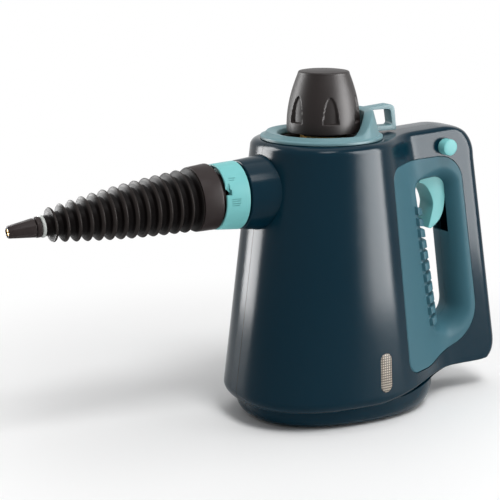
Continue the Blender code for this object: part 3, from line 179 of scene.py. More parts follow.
# Socket and locking collar
NOZZLE_Z = 0.1687
SOCKET_BACK = 0.040
SOCKET_BACK_RADIUS = 0.0280
SOCKET_FACE = 0.071
SOCKET_FACE_RADIUS = 0.0245
SOCKET_WALL = 0.0025
SPIGOT_RADIUS = 0.0165
SPIGOT_END = 0.085
SPIGOT_BORE = 0.0127
SPIGOT_FLOOR = 0.060
TUBE_RADIUS = 0.0019
COLLAR_START = 0.0724
COLLAR_END = 0.0902
COLLAR_BACK_RADIUS = 0.0244
COLLAR_FRONT_RADIUS = 0.0232
COLLAR_LIP = 0.0017
COLLAR_THROAT = 0.0201
COLLAR_THROAT_DEPTH = 0.0045
COLLAR_CUT_PAST = 1.2
NOTCH_DEEP = 0.003
NOTCH_X = 0.0085
NOTCH_INTO = 0.0036
NOTCH_STEP = 0.0040
NOTCH_STEP_DEEP = 1.3
MARKS = ((0.0142, 0.0040), (0.0155, 0.0052), (0.0016, 0.0070), (0.0001, 0.0070), (-0.0014, 0.0070),
         (-0.0030, 0.0060))
MARK_BACK = 1.1
MARK_DEEP = 0.0003
MARK_WIDE = 0.0004

# Nozzle accessory, along its own axis
BAYONET = 0.0883
DROOP = math.radians(4.15)
ACCESSORY_RISE = 0.0010
STUB_RADIUS = 0.0092
STUB_BACK = 0.014
FLANGE_RADIUS = 0.0186
CUP_START = 0.0039
CUP_END = 0.0187
CUP_BACK_RADIUS = 0.0236
CUP_RADIUS = 0.0229
CUP_WALL = 0.003
CUP_EDGE = 0.0014
FIRST_CREST = 0.0273
CREST_COUNT = 13
CREST_PITCH = 0.00802
CREST_BIG = 0.0220
CREST_SMALL = 0.0119
CREST_BOW = 0.0014
CREST_HALF = 0.26
CREST_BEND = 1.6
CREST_SINK = 0.0042
CREST_ROUND = 0.0004
CREST_DETAIL = 20
BELLOWS_WALL = 0.0014
SLEEVE_DEEP = 0.006
LANCE_RADIUS = 0.0042
END_NECK = 0.0070
END_RUN = 0.22
WASHER_PLACE = 0.1292
WASHER_RADIUS = 0.0077
WASHER_THICK = 0.0024
NUT_PLACE = WASHER_PLACE + WASHER_THICK + GAP
NUT_RADIUS = 0.0071
NUT_THICK = 0.0034
TIP_LONG = 0.0191
TIP_SIDES = 8
TIP_BACK_HALF = 0.00635
TIP_FRONT_HALF = 0.0040
TIP_BORE = 0.0030
TIP_EDGE = 0.0006
JET_RADIUS = 0.0027
JET_HOLE = 0.0007
JET_LONG = 0.008

# Safety cap
CAP_BOTTOM = 0.2095
CAP_TOP = 0.2530
CAP_CROWN = 0.0012
CAP_RADIUS = 0.0264
CAP_TOP_RADIUS = 0.0180
CAP_WALL = 0.0040
CAP_BELLY = 0.0012
CAP_POWER = 1.6
CAP_SOFT = 0.0016
CAP_LIP = 0.0006
CAP_LIP_INNER = 0.3
CAP_LIP_OUTER = 0.2
CAP_ROWS = 110
CAP_AROUND = 288
CROWN_SHARES = (0.82, 0.7, 0.55, 0.4, 0.25, 0.1)
CAP_INNER_SHARES = (0.9, 0.6, 0.3, 0.0)
FLUTE_TURN = math.radians(11.0)
FLUTE_HALF = 0.0062
FLUTE_DEEP = 0.0024
FLUTE_FOOT = 0.2168
FLUTE_TIP = 0.2362
FLUTE_POINT_POWER = 1.7
FLUTE_EDGE = 0.0011
FLUTE_FADE = 0.55

# Dish with its hanging loop, and the well in it
DISH_FLANGE = 0.0444
DISH_FLANGE_THICK = 0.0020
DISH_WALL_FOOT = 0.0419
DISH_X = -0.0015
DISH_RIM = 0.0400
DISH_LIP = 0.0368
DISH_RIM_ROUND = 0.0010
DISH_RIM_WIDE = 0.0078
DISH_LIP_WIDE = 0.0062
DISH_RIM_DROP = 0.0012
DISH_FRONT_Z = 0.2098
DISH_BACK_Z = 0.2248
DISH_RISE_START = 0.008
DISH_RISE_END = 0.036
DISH_BORE = 0.0312
DISH_FILLETS = (0.0003, 0.0006, 0.0005, 0, 0, 0, 0, 0.0006, 0.0008, 0.0003)
DISH_STEPS = 144
LOOP_HALF = 0.00475
LOOP_BACK = 0.0603
LOOP_TOP = 0.2262
LOOP_SHOULDER = 0.0578
LOOP_SHOULDER_ROUND = 2.2
LOOP_HOLE_FRONT = 0.0412
LOOP_HOLE_BACK = 0.0566
LOOP_HOLE_BOTTOM = 0.2102
LOOP_HOLE_TOP = 0.2226
LOOP_HOLE_ROUND = 1.3
LOOP_CORNER = 0.002
LOOP_ROOT = 0.0345
LOOP_EDGE = 0.0007
DECK_HOLE = 0.0405
WELL_RIM = 0.0382
WELL_FLOOR = 0.1985
WELL_THICK = 0.0022
WELL_RADIUS = 0.0304
WELL_ROUND = 0.002
NECK_TUBE = 0.0130

# Gland and case screws
GLAND_Z = 0.048
GLAND_RADIUS = 0.0058
GLAND_FLANGE = 0.0074
GLAND_BORE = 0.0034
GLAND_PROUD = 0.0012
GLAND_ROUND = GLAND_PROUD * 0.45
GLAND_LONG = 0.012
SCREW_PLACES = ((-0.050, 0.045), (-0.050, 0.118), (0.058, 0.1965), (0.1295, 0.100), (0.0985, 0.0280))
BOSS_RADIUS = 0.0038
SCREW_RADIUS = 0.0014
SCREW_HEAD = 0.0026
SCREW_HEAD_THICK = 0.0018
SCREW_LONG = 0.014
SCREW_DEEP = 0.006
CROSS_DEEP = SCREW_HEAD_THICK * 0.7
CROSS_LONG = 0.62
CROSS_HALF = 0.13
CROSS_PAST = 1.1

# How finely the forms are divided
FINE = 128
MIDDLING = 48
SMALL = 16
WELD = 0.000001
FILLET_STEPS = 6
FRONT_STEPS = 40
SHOULDER_STEPS = 36
CORNER_STEPS = 16
FOOT_ARC_STEPS = 8
TURN_STEPS = 9
WALL_STEPS = 70
NECK_STEPS = 8
EDGE_STEPS = 8
PANEL_SIDE_SHARES = tuple(tuple(step / count for step in range(1, count)) for count in (9, 30, 4, 4))
PANEL_CORNER_STEPS = 12
SKIN_SHARES = (0.0, 0.03, 0.2, 0.4, 0.6, 0.8)
ROLL_SHARES = tuple(1 - step / 14 for step in range(15))
INNER_ROLL_SHARES = (0.0, 0.25, 0.5, 0.75, 1.0)

# Finishes
SEAM_SHADE = 0.0004
SCUFF_STRETCH = (1.0, 6.0, 0.5)
SCUFF_TURN = (0.3, 0.2, 0.5)
SCUFF_EDGES = (0.60, 0.74)
# Painted highlight colour on the bellows' crests, and the depths below a crest, as shares of CREST_SINK,
# where that painted highlight starts and where it is full
CREST_HIGHLIGHT = (0.038, 0.032, 0.030)
HIGHLIGHT_DEEP = 0.20
HIGHLIGHT_TOP = 0.03
LAMP_COLOR = (0.75, 0.35, 0.12)
INNER_COLOR = (0.05, 0.05, 0.055)
RUBBER_COLOR = (0.02, 0.02, 0.02)
BRASS_COLOR = (0.80, 0.50, 0.16)
STEEL_COLOR = (0.56, 0.57, 0.58)
CAST_COLOR = (0.62, 0.63, 0.64)
FELT_COLOR = (0.60, 0.57, 0.50)
CERAMIC_COLOR = (0.75, 0.74, 0.70)
HOSE_COLOR = (0.70, 0.69, 0.66)
WHITE = (1.0, 1.0, 1.0, 1.0)

# Floor, camera, and each lamp's place, size and whether more than gloss shows it
FLOOR_NEAR = 0.17
FLOOR_FAR = 0.45
GLOSS_NEAR = 0.8
GLOSS_FAR = 2.0
SENSOR_WIDTH = 36.0
CLIP_START = 0.05
CLIP_END = 20.0
MIDDLE = (0.0, 0.0, 0.11)
LAMPS = {
    "key": ((-0.05, -0.9, 1.6), (0.6, 0.6), True),
    "side": ((0.60, -0.46, 0.40), (0.46, 0.78), True),
    "top": ((0.1, 0.1, 1.5), (1.2, 1.0), True),
    "strip": ((-0.305, 0.37, 0.25), (0.18, 0.50), False),
    "glint": ((0.335, -0.33, 0.25), (0.30, 0.50), False),
}


def lerp(start, end, share):
    """The value at a share of the way from start to end."""
    return start + (end - start) * share


def corner_arc(before, corner, after, radius, steps):
    """Points of the fillet at one corner of a side-view outline."""
    corner = Vector(corner)
    back = (Vector(before) - corner).normalized()
    ahead = (Vector(after) - corner).normalized()
    half = back.angle(ahead) / 2
    reach = radius / math.tan(half)
    centre = corner + (back + ahead).normalized() * radius / math.sin(half)
    start = corner + back * reach - centre
    sweep = math.pi - 2 * half
    turn = 1 if back.x * ahead.y - back.y * ahead.x < 0 else -1
    points = []
    for step in range(steps + 1):
        angle = turn * sweep * step / steps
        points.append((centre.x + start.x * math.cos(angle) - start.y * math.sin(angle),
                       centre.y + start.x * math.sin(angle) + start.y * math.cos(angle)))
    return points


def rounded(corners, steps, sides):
    """A closed outline with a fillet at each corner and shares along each side after it."""
    outline = []
    count = len(corners)
    arcs = [corner_arc(corners[index - 1][:2], corners[index][:2],
                       corners[(index + 1) % count][:2], corners[index][2], steps)
            for index in range(count)]
    for index, arc in enumerate(arcs):
        outline.extend(arc)
        start, end = Vector(arc[-1]), Vector(arcs[(index + 1) % count][0])
        outline.extend(tuple(start.lerp(end, share)) for share in sides[index])
    return outline


def grown(outline, amount):
    """An outline moved outward by an amount; it runs clockwise in side view."""
    moved = []
    for index, point in enumerate(outline):
        before, after = Vector(outline[index - 1]), Vector(outline[(index + 1) % len(outline)])
        along = (after - before).normalized()
        moved.append((point[0] - along.y * amount, point[1] + along.x * amount))
    return moved


def level_share(height):
    """0 at the wall's foot, 1 at the top of the body."""
    return (height - WALL_FOOT) / (TOP - WALL_FOOT)


def back_at(height):
    """The handle's back in side view."""
    slanted = BACK_X + (BACK_TOP - height) * BACK_LEAN
    if height > BACK_TOP:
        part = min((height - BACK_TOP) / (TOP - BACK_TOP), 1)
        bulge = (1 - part ** BACK_TOP_POWER) ** (1 / BACK_TOP_POWER)
        return BACK_X - BACK_TOP_ROUND * (1 - bulge)
    if height > UNDERSIDE:
        part = max(BACK_FOOT - height, 0) / (BACK_FOOT - UNDERSIDE)
        bulge = (1 - part ** BACK_FOOT_POWER) ** (1 / BACK_FOOT_POWER)
        return slanted - BACK_FOOT_ROUND * (1 - bulge)
    foot = BACK_X + (BACK_TOP - UNDERSIDE) * BACK_LEAN - BACK_FOOT_ROUND
    return foot - (UNDERSIDE - height) * UNDERSIDE_SLOPE


def half_width(x, height):
    """Half the body's width behind its widest place."""
    share = level_share(height)
    widest = lerp(WIDEST_FOOT_X, WIDEST_TOP_X, share)
    reach = min(max((x - widest) / lerp(SHOULDER_FOOT, SHOULDER_TOP, share), 0), 1)
    swell = (1 + math.cos(math.pi * reach ** SHOULDER_POWER)) / 2
    return HANDLE_HALF + (lerp(WIDE_FOOT, WIDE_TOP, share) - HANDLE_HALF) * swell


def body_outline(height, inset, back):
    """Half of the body's plan at a height: (x, y) from the front of the seam to its back."""
    share = level_share(height)
    widest = lerp(WIDEST_FOOT_X, WIDEST_TOP_X, share)
    front = widest + lerp(FRONT_FOOT, FRONT_TOP, share) - inset
    wide = lerp(WIDE_FOOT, WIDE_TOP, share) - inset
    power = 2 / FRONT_POWER
    points = []
    for step in range(FRONT_STEPS):
        angle = math.pi / 2 * step / FRONT_STEPS
        points.append((widest - front * math.cos(angle) ** power, wide * math.sin(angle) ** power))
    last = back - HANDLE_CORNER
    for step in range(SHOULDER_STEPS):
        x = lerp(widest, last, step / SHOULDER_STEPS)
        points.append((x, half_width(x, height) - inset))
    side = half_width(last, height) - inset
    power = 2 / CORNER_POWER
    for step in range(CORNER_STEPS + 1):
        angle = math.pi / 2 * step / CORNER_STEPS
        points.append((last + (HANDLE_CORNER - inset) * math.sin(angle) ** power,
                       side * max(math.cos(angle), 0) ** power))
    return points


def foot_outline(inset):
    """Half of the foot's plan, with as many points as the body's."""
    count = FRONT_STEPS + SHOULDER_STEPS + CORNER_STEPS
    points = []
    for step in range(count + 1):
        angle = math.pi * step / count
        along, across = math.cos(angle), max(math.sin(angle), 0)
        shape = math.copysign(abs(along) ** (2 / FOOT_POWER), along)
        points.append((FOOT_X - (FOOT_LONG - inset) * shape,
                       (FOOT_WIDE - inset) * across ** (2 / FOOT_POWER)))
    return points


def deck_rise(x, height):
    """How far the top lifts towards the handle."""
    share = min(max((height - BACK_TOP) / (TOP - BACK_TOP), 0), 1)
    return max(x - TOP_RISE_START, 0) * TOP_RISE * share


def rib_stations():
    """Shares up the opening's front side with the rib's rise at each."""
    stations = []
    for rib in range(RIB_COUNT):
        for place, rise in RIB_SHARES:
            stations.append(((rib + place) / RIB_COUNT * RIBBED_SHARE, rise))
    return stations


def side_shares():
    """Shares along each side of panel and opening; the ribs stand on the last one."""
    return PANEL_SIDE_SHARES + (tuple(share for share, _ in rib_stations()),)


def panel_outline():
    return rounded(PANEL_CORNERS, PANEL_CORNER_STEPS, side_shares())


def opening_outline():
    return rounded(OPENING_CORNERS, PANEL_CORNER_STEPS, side_shares())


def station_values():
    """For each outline point: the width of the rolled edge and the rib's rise."""
    values = []
    sides = side_shares()
    rises = [rise for _, rise in rib_stations()]
    for index, shares in enumerate(sides):
        here, following = ROLL_WIDTHS[index], ROLL_WIDTHS[(index + 1) % len(ROLL_WIDTHS)]
        values += [(here, 0.0)] * (PANEL_CORNER_STEPS + 1)
        last = index == len(sides) - 1
        for step, share in enumerate(shares):
            values.append((lerp(here, following, share), rises[step] if last else 0.0))
    return values


def skin(place, side, depth=0.0):
    """A point of the body's side surface at (x, z), moved inward by a depth."""
    return (place.x, side * (half_width(place.x, place.y) - depth), place.y)


def stadium(grow):
    """The window's upright outline, grown outward by an amount."""
    radius = LENS_HALF_WIDTH + grow
    straight = LENS_HALF_HEIGHT - LENS_HALF_WIDTH
    points = []
    for end in (1, -1):
        for step in range(SMALL + 1):
            angle = math.pi * step / SMALL
            points.append((LENS_X - end * radius * math.cos(angle),
                           LENS_Z + end * (straight + radius * math.sin(angle))))
    return points


def socket_radius(forward):
    """Outer radius of the tapered socket at a distance along its axis."""
    share = (forward - SOCKET_BACK) / (SOCKET_FACE - SOCKET_BACK)
    return lerp(SOCKET_BACK_RADIUS, SOCKET_FACE_RADIUS, share)


def crest_radius(index):
    """Radius of a crest, the biggest next to the cup; the taper bows out a little."""
    share = index / (CREST_COUNT - 1)
    bow = CREST_BOW * math.sin(math.pi * share)
    return lerp(CREST_BIG, CREST_SMALL, share) + bow


def cap_side(share, inward=0.0):
    """A point (radius, height) of the cap's bullet side."""
    radius = lerp(CAP_RADIUS, CAP_TOP_RADIUS, share ** CAP_POWER)
    return radius + CAP_BELLY * math.sin(math.pi * share) - inward, lerp(CAP_BOTTOM, CAP_TOP, share)


def dish_lift(angle):
    """0 in front and at the sides of the dish, 1 at its back lip."""
    along = DISH_RIM * math.cos(angle)
    share = min(max((along - DISH_RISE_START) / (DISH_RISE_END - DISH_RISE_START), 0), 1)
    return share * share * (3 - 2 * share)


def dish_section(angle):
    """(radius, height) of flange, slanted wall, broad rim that falls inward, and bore."""
    lift = dish_lift(angle)
    base = TOP + GAP
    rim_z = lerp(DISH_FRONT_Z, DISH_BACK_Z, lift)
    rim = lerp(DISH_RIM, DISH_LIP, lift)
    inner = rim - lerp(DISH_RIM_WIDE, DISH_LIP_WIDE, lift)
    edge = DISH_RIM_ROUND
    return ((DISH_FLANGE, base), (DISH_FLANGE, base + DISH_FLANGE_THICK),
            (DISH_WALL_FOOT, base + DISH_FLANGE_THICK + edge / 2),
            (rim + edge * 2 / 3, rim_z - edge), (rim - edge / 3, rim_z),
            (rim - edge * 3 / 2, rim_z), (inner + edge / 2, rim_z - DISH_RIM_DROP),
            (inner, rim_z - DISH_RIM_DROP - edge / 2), (DISH_BORE, base + edge), (DISH_BORE, base))


def boss_reach(x, z):
    """How far from the seam the middle of the wall lies at a screw."""
    if x < 0:
        share = level_share(z)
        widest = lerp(WIDEST_FOOT_X, WIDEST_TOP_X, share)
        long = widest + lerp(FRONT_FOOT, FRONT_TOP, share)
        along = (widest - x + BOSS_RADIUS) / long
        wide = lerp(WIDE_FOOT, WIDE_TOP, share)
        return wide * (1 - along ** FRONT_POWER) ** (1 / FRONT_POWER) - WALL
    return half_width(x + BOSS_RADIUS, z) - WALL / 2


class Signal:
    """A number on its way through a material; sums and products of it become Math nodes."""

    def __init__(self, recipe, socket):
        self.recipe, self.socket = recipe, socket

    def math(self, operation, *others):
        values = dict(enumerate((self, *others)))
        return self.recipe.node("ShaderNodeMath", {"operation": operation}, values)

    def __add__(self, other):
        return self.math("ADD", other)

    def __radd__(self, other):
        return self.math("ADD", other)

    def __sub__(self, other):
        return self.math("SUBTRACT", other)

    def __rsub__(self, other):
        return (self * -1) + other

    def __mul__(self, other):
        return self.math("MULTIPLY", other)

    def __rmul__(self, other):
        return self.math("MULTIPLY", other)

    def __truediv__(self, other):
        return self.math("DIVIDE", other)

    def abs(self):
        return self.math("ABSOLUTE")

    def power(self, exponent):
        return self.math("POWER", exponent)

    def fraction(self):
        return self.math("FRACT")

    def larger(self, other):
        return self.math("MAXIMUM", other)

    def step(self, low, high):
        """0 below low, 1 above high, smooth between."""
        settings = {"interpolation_type": "SMOOTHSTEP"}
        return self.recipe.node("ShaderNodeMapRange", settings, {"Value": self, "From Min": low,
                                                                 "From Max": high})


class Recipe:
    """A material or world being mixed; every node comes from its node method."""

    def __init__(self, owner):
        owner.use_nodes = True
        self.owner, self.tree, self.coordinates = owner, owner.node_tree, None
        self.tree.nodes.clear()

    def node(self, kind, settings, values, output=0):
        """Adds a node and returns one of its outputs as a Signal."""
        made = self.tree.nodes.new(kind)
        for setting, value in settings.items():
            setattr(made, setting, value)
        for key, value in values.items():
            socket = made.inputs[key]
            if isinstance(value, Signal):
                self.tree.links.new(value.socket, socket)
            elif hasattr(socket.default_value, "__len__") and not hasattr(value, "__len__"):
                socket.default_value = [value] * len(socket.default_value)
            else:
                socket.default_value = value
        return Signal(self, made.outputs[output]) if made.outputs else None

    @property
    def place(self):
        """The object's own coordinates, from one node."""
        if not self.coordinates:
            self.coordinates = self.node("ShaderNodeTexCoord", {}, {}, "Object")
        return self.coordinates

    def stretched(self, scale, turn=(0, 0, 0), move=(0, 0, 0)):
        values = {"Vector": self.place, "Location": move, "Rotation": turn, "Scale": scale}
        return self.node("ShaderNodeMapping", {}, values)

    def noise(self, scale, detail=3.0, source=None, roughness=0.5):
        values = {"Vector": source or self.place, "Scale": scale, "Detail": detail,
                  "Roughness": roughness}
        return self.node("ShaderNodeTexNoise", {}, values)

    def cells(self, scale):
        return self.node("ShaderNodeTexVoronoi", {}, {"Vector": self.place, "Scale": scale})

    def parts(self, source=None):
        """X, Y and Z of a place."""
        first = self.node("ShaderNodeSeparateXYZ", {}, {"Vector": source or self.place})
        return [Signal(self, output) for output in first.socket.node.outputs]

    def rays(self):
        """Whether the camera, gloss or glass is looking."""
        return [self.node("ShaderNodeLightPath", {}, {}, kind)
                for kind in ("Is Camera Ray", "Is Glossy Ray", "Is Transmission Ray")]

    def blend(self, factor, first, second):
        """A colour between two colours."""
        settings = {"data_type": "RGBA", "clamp_factor": True}
        return self.node("ShaderNodeMix", settings, {0: factor, 6: opaque(first), 7: opaque(second)},
                         2)

    def bump(self, height, distance, strength):
        values = {"Height": height, "Distance": distance, "Strength": strength}
        return self.node("ShaderNodeBump", {}, values)

    def finish(self, values):
        shader = self.node("ShaderNodeBsdfPrincipled", {}, values)
        self.node("ShaderNodeOutputMaterial", {}, {"Surface": shader})
        return self.owner


def opaque(color):
    """A plain colour with full alpha; a colour on its way through stays as it is."""
    return color if isinstance(color, Signal) else (*color[:3], 1.0)


def shade_of(color, gain):
    """A colour made darker or lighter."""
    return tuple(min(part * gain, 1.0) for part in color[:3])


def loft(rings, loop=False):
    """Skin over rings of equal count; an open loft gets flat ends."""
    made = bmesh.new()
    rows = [[made.verts.new(point) for point in ring] for ring in rings]
    after = rows[1:] + rows[:1] if loop else rows[1:]
    for row, following in zip(rows, after):
        for index in range(len(row)):
            ahead = (index + 1) % len(row)
            made.faces.new((row[index], row[ahead], following[ahead], following[index]))
    if not loop:
        made.faces.new(rows[0])
        made.faces.new(rows[-1])
    return made


def circle(radius, height, count):
    """Points of a level circle round Z."""
    angles = [2 * math.pi * step / count for step in range(count)]
    return [(radius * math.cos(angle), radius * math.sin(angle), height) for angle in angles]


def lathe(profile, steps):
    """A closed profile of (radius, height) turned round Z."""
    made = bmesh.new()
    rows = []
    for radius, height in profile:
        points = [(0, 0, height)] if radius < WELD else circle(radius, height, steps)
        rows.append([made.verts.new(point) for point in points])
    for row, following in zip(rows, rows[1:] + rows[:1]):
        for step in range(steps):
            ahead = (step + 1) % steps
            corners = [row[step % len(row)], row[ahead % len(row)],
                       following[ahead % len(following)], following[step % len(following)]]
            corners = list(dict.fromkeys(corners))
            if len(corners) > 2:
                made.faces.new(corners)
    return made


def rod(radius, low, high, steps):
    """A plain round rod along Z, mostly used as a tool."""
    return lathe(((0, low), (radius, low), (radius, high), (0, high)), steps)


def eased(profile, steps=4):
    """A closed lathe profile of (radius, height, fillet) with its corners rounded."""
    points = []
    count = len(profile)
    for index, (radius, height, fillet) in enumerate(profile):
        before, after = profile[index - 1], profile[(index + 1) % count]
        if fillet:
            points += corner_arc(before[:2], (radius, height), after[:2], fillet, steps)
        else:
            points.append((radius, height))
    return points


def slab(outline, near, far):
    """A side-view outline of (x, z) carried along Y."""
    return loft([[(x, near, z) for x, z in outline], [(x, far, z) for x, z in outline]])


def oblong(left, right, low, high):
    """Corners of a plain rectangle."""
    return ((left, low), (right, low), (right, high), (left, high))


def arc_shares(count):
    """Quarter circle as (rise, tuck) pairs, both from 0 to 1."""
    angles = [math.pi / 2 * step / count for step in range(count + 1)]
    return [(math.sin(angle), 1 - math.cos(angle)) for angle in angles]


def from_bmesh(name, made, matrix=None):
    """A new object from mesh data in the design frame, faces outward."""
    if matrix:
        made.transform(matrix)
    bmesh.ops.recalc_face_normals(made, faces=made.faces)
    data = bpy.data.meshes.new(name)
    made.to_mesh(data)
    made.free()
    obj = bpy.data.objects.new(name, data)
    bpy.context.scene.collection.objects.link(obj)
    return obj


def carve(obj, tools, solver="MANIFOLD"):
    """Cuts or joins each (tool data, operation, matrix) with obj."""
    made = [(from_bmesh(f"{obj.name}.tool.{number}", data, matrix), operation)
            for number, (data, operation, matrix) in enumerate(tools)]
    combine(obj, made, solver)


def combine(obj, tools, solver):
    """Cuts or joins each (tool object, operation) with obj, bakes it and drops the tools."""
    for tool, operation in tools:
        change = obj.modifiers.new(tool.name, "BOOLEAN")
        change.operation, change.solver, change.object = operation, solver, tool
    bake(obj)
    for tool, _ in tools:
        data = tool.data
        bpy.data.objects.remove(tool)
        bpy.data.meshes.remove(data)


def bake(obj):
    """Replaces obj's mesh with its evaluated mesh and drops its modifiers."""
    bpy.context.view_layer.update()
    graph = bpy.context.evaluated_depsgraph_get()
    data = bpy.data.meshes.new_from_object(obj.evaluated_get(graph), depsgraph=graph)
    if not data.polygons:
        raise RuntimeError(f"{obj.name} came out empty")
    old = obj.data
    obj.modifiers.clear()
    obj.data = data
    bpy.data.meshes.remove(old)
    data.name = obj.name


def chamfer(obj, width, segments, limit):
    """Rounds every edge that is sharper than the limit."""
    change = obj.modifiers.new("edges", "BEVEL")
    change.width, change.segments, change.angle_limit = width, segments, limit
    change.use_clamp_overlap = True
    bake(obj)


def settle(obj, body, material, nodes, smooth=math.radians(35)):
    """Puts a finished form in the frame on its body, in place of its nodes."""
    obj.data.transform(Matrix.Translation((SHIFT, 0, 0)))
    obj.data.materials.clear()
    obj.data.materials.append(material)
    for face in obj.data.polygons:
        face.use_smooth = True
    obj.data.set_sharp_from_angle(angle=smooth)
    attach(obj, body)
    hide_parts(*nodes)


def dress(material, *nodes):
    """Gives CAD nodes a material."""
    for node in nodes:
        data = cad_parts[node].data
        data.materials.clear()
        data.materials.append(material)


NOZZLE = Matrix.Translation((0, 0, NOZZLE_Z)) @ Matrix.Rotation(-math.pi / 2, 4, "Y")
ACCESSORY = NOZZLE @ Matrix.Translation((ACCESSORY_RISE, 0, BAYONET)) @ Matrix.Rotation(-DROOP, 4, "Y")


def across(x, z):
    """A frame at (x, z) on the seam whose Z runs along +Y."""
    return Matrix.Translation((x, 0, z)) @ Matrix.Rotation(-math.pi / 2, 4, "X")


def foot_rise(x, height):
    """How far the joint between body and foot climbs towards the handle."""
    share = min(max((x - FOOT_RISE_START) / FOOT_RISE_LONG, 0), 1)
    if height > FOOT_SEAM:
        near = (WALL_FOOT - height) / (WALL_FOOT - FOOT_SEAM)
    else:
        near = (height - FOOT_LIFT) / (FOOT_SEAM - FOOT_LIFT)
    return FOOT_RISE * share * share * (3 - 2 * share) * max(near, 0)


def half_ring(outline, height, side, seam):
    """An outline as a ring of one shell, closed along the seam."""
    ring = []
    for index, (x, y) in enumerate(outline):
        ends = index in (0, len(outline) - 1)
        rise = deck_rise(x, height) + foot_rise(x, height)
        ring.append((x, side * (seam if ends else max(y, seam)), height + rise))
    return ring


def half_rows(inset, lift):
    """(height, outline) of each ring of a half body, from the bottom up."""
    rows = []
    for step in range(FOOT_ARC_STEPS + 1):
        angle = math.pi / 2 * step / FOOT_ARC_STEPS
        tuck = FOOT_TUCK * (1 - math.sin(angle))
        height = FOOT_LIFT + FOOT_BOWL * (1 - math.cos(angle))
        rows.append((height, foot_outline(tuck + inset)))
    rows.append((FOOT_SEAM + lift, foot_outline(inset)))
    for step in range(TURN_STEPS + 1):
        high = step / TURN_STEPS
        height = WALL_FOOT - TURN_IN_HEIGHT * (1 - high) + lift
        tuck = TURN_IN * (1 - high) ** TURN_POWER
        rows.append((height, body_outline(height, tuck + inset, back_at(height - lift))))
    for step in range(1, WALL_STEPS):
        share = step / WALL_STEPS
        height = lerp(WALL_FOOT, BACK_TOP, share) + lift * (1 - share)
        rows.append((height, body_outline(height, inset, back_at(height - lift))))
    for step in range(1, NECK_STEPS):
        height = lerp(BACK_TOP, TOP - EDGE_RADIUS, step / NECK_STEPS)
        rows.append((height, body_outline(height, inset, back_at(height))))
    for rise, tuck in arc_shares(EDGE_STEPS):
        height = TOP - EDGE_RADIUS * (1 - rise) - inset
        rows.append((height, body_outline(height, tuck * EDGE_RADIUS + inset, back_at(height))))
    return rows


def half_solid(side, inset, seam, lift, drop=0.0):
    """One half of the body as a solid; its top is made of strips across to the seam."""
    rings = [half_ring(outline, height, side, seam) for height, outline in half_rows(inset, lift)]
    if drop:
        rings.insert(0, [(x, y, z - drop) for x, y, z in rings[0]])
    made = bmesh.new()
    rows = [[made.verts.new(point) for point in ring] for ring in rings]
    for row, following in zip(rows, rows[1:]):
        for index in range(len(row) - 1):
            made.faces.new((row[index], row[index + 1], following[index + 1], following[index]))
    top = rows[-1]
    seam_row = [top[0]]
    seam_row += [made.verts.new((vert.co.x, side * seam, vert.co.z)) for vert in top[1:-1]]
    seam_row.append(top[-1])
    for index in range(len(top) - 1):
        corners = [top[index], top[index + 1], seam_row[index + 1], seam_row[index]]
        made.faces.new(list(dict.fromkeys(corners)))
    made.faces.new([row[0] for row in rows] + seam_row[1:-1] + [row[-1] for row in reversed(rows)])
    made.faces.new(rows[0])
    return made


def shell_tools(side):
    """Every opening of one shell, as tools to carve it with."""
    past = CUT_PAST
    wide = WIDE_FOOT + past
    panel = grown(panel_outline(), GAP)
    back, face = SOCKET_BACK, SOCKET_FACE
    mouth = lathe(((0, back), (socket_radius(back) + GAP, back), (socket_radius(face) + GAP, face),
                   (0, face)), FINE)
    bolt = rod(BUTTON_RADIUS + GAP, *sorted((0, side * wide)), MIDDLING)
    tools = [(half_solid(side, WALL, -past, WALL, FOOT_LIFT + past), "DIFFERENCE", None),
             (rod(DECK_HOLE, TOP - WALL - EDGE_RADIUS - past, TOP + past, FINE), "DIFFERENCE",
              Matrix.Translation((DISH_X, 0, 0))),
             (slab(panel, -past * side, side * wide), "DIFFERENCE", None),
             (mouth, "DIFFERENCE", NOZZLE),
             (bolt, "DIFFERENCE", across(BUTTON_X, BUTTON_Z)),
             (rod(GLAND_RADIUS + GAP, -GLAND_LONG, GLAND_LONG, MIDDLING), "DIFFERENCE",
              gland_frame())]
    if side < 0:
        window = loft([[(x, y, z) for x, z in stadium(GAP)] for y in (-wide, -HANDLE_HALF)])
        return tools + [(window, "DIFFERENCE", None)]
    for x, z in SCREW_PLACES:
        boss = rod(BOSS_RADIUS, SEAM_HALF, boss_reach(x, z), SMALL)
        tools.append((boss, "UNION", across(x, z)))
        tools.append((rod(SCREW_HEAD + GAP, SCREW_DEEP, wide, SMALL), "DIFFERENCE", across(x, z)))
    return tools


def gland_frame():
    """A frame on the handle's back, its Z pointing out along the back's own normal."""
    lean = math.atan(BACK_LEAN)
    place = Matrix.Translation((back_at(GLAND_Z), 0, GLAND_Z))
    return place @ Matrix.Rotation(math.pi / 2 - lean, 4, "Y")


def make_shell(name, side, node):
    """One half of the body with its openings."""
    shell = from_bmesh(name, half_solid(side, 0, SEAM_HALF, 0))
    carve(shell, shell_tools(side))
    settle(shell, "body", finishes("petrol"), [node], math.radians(28))


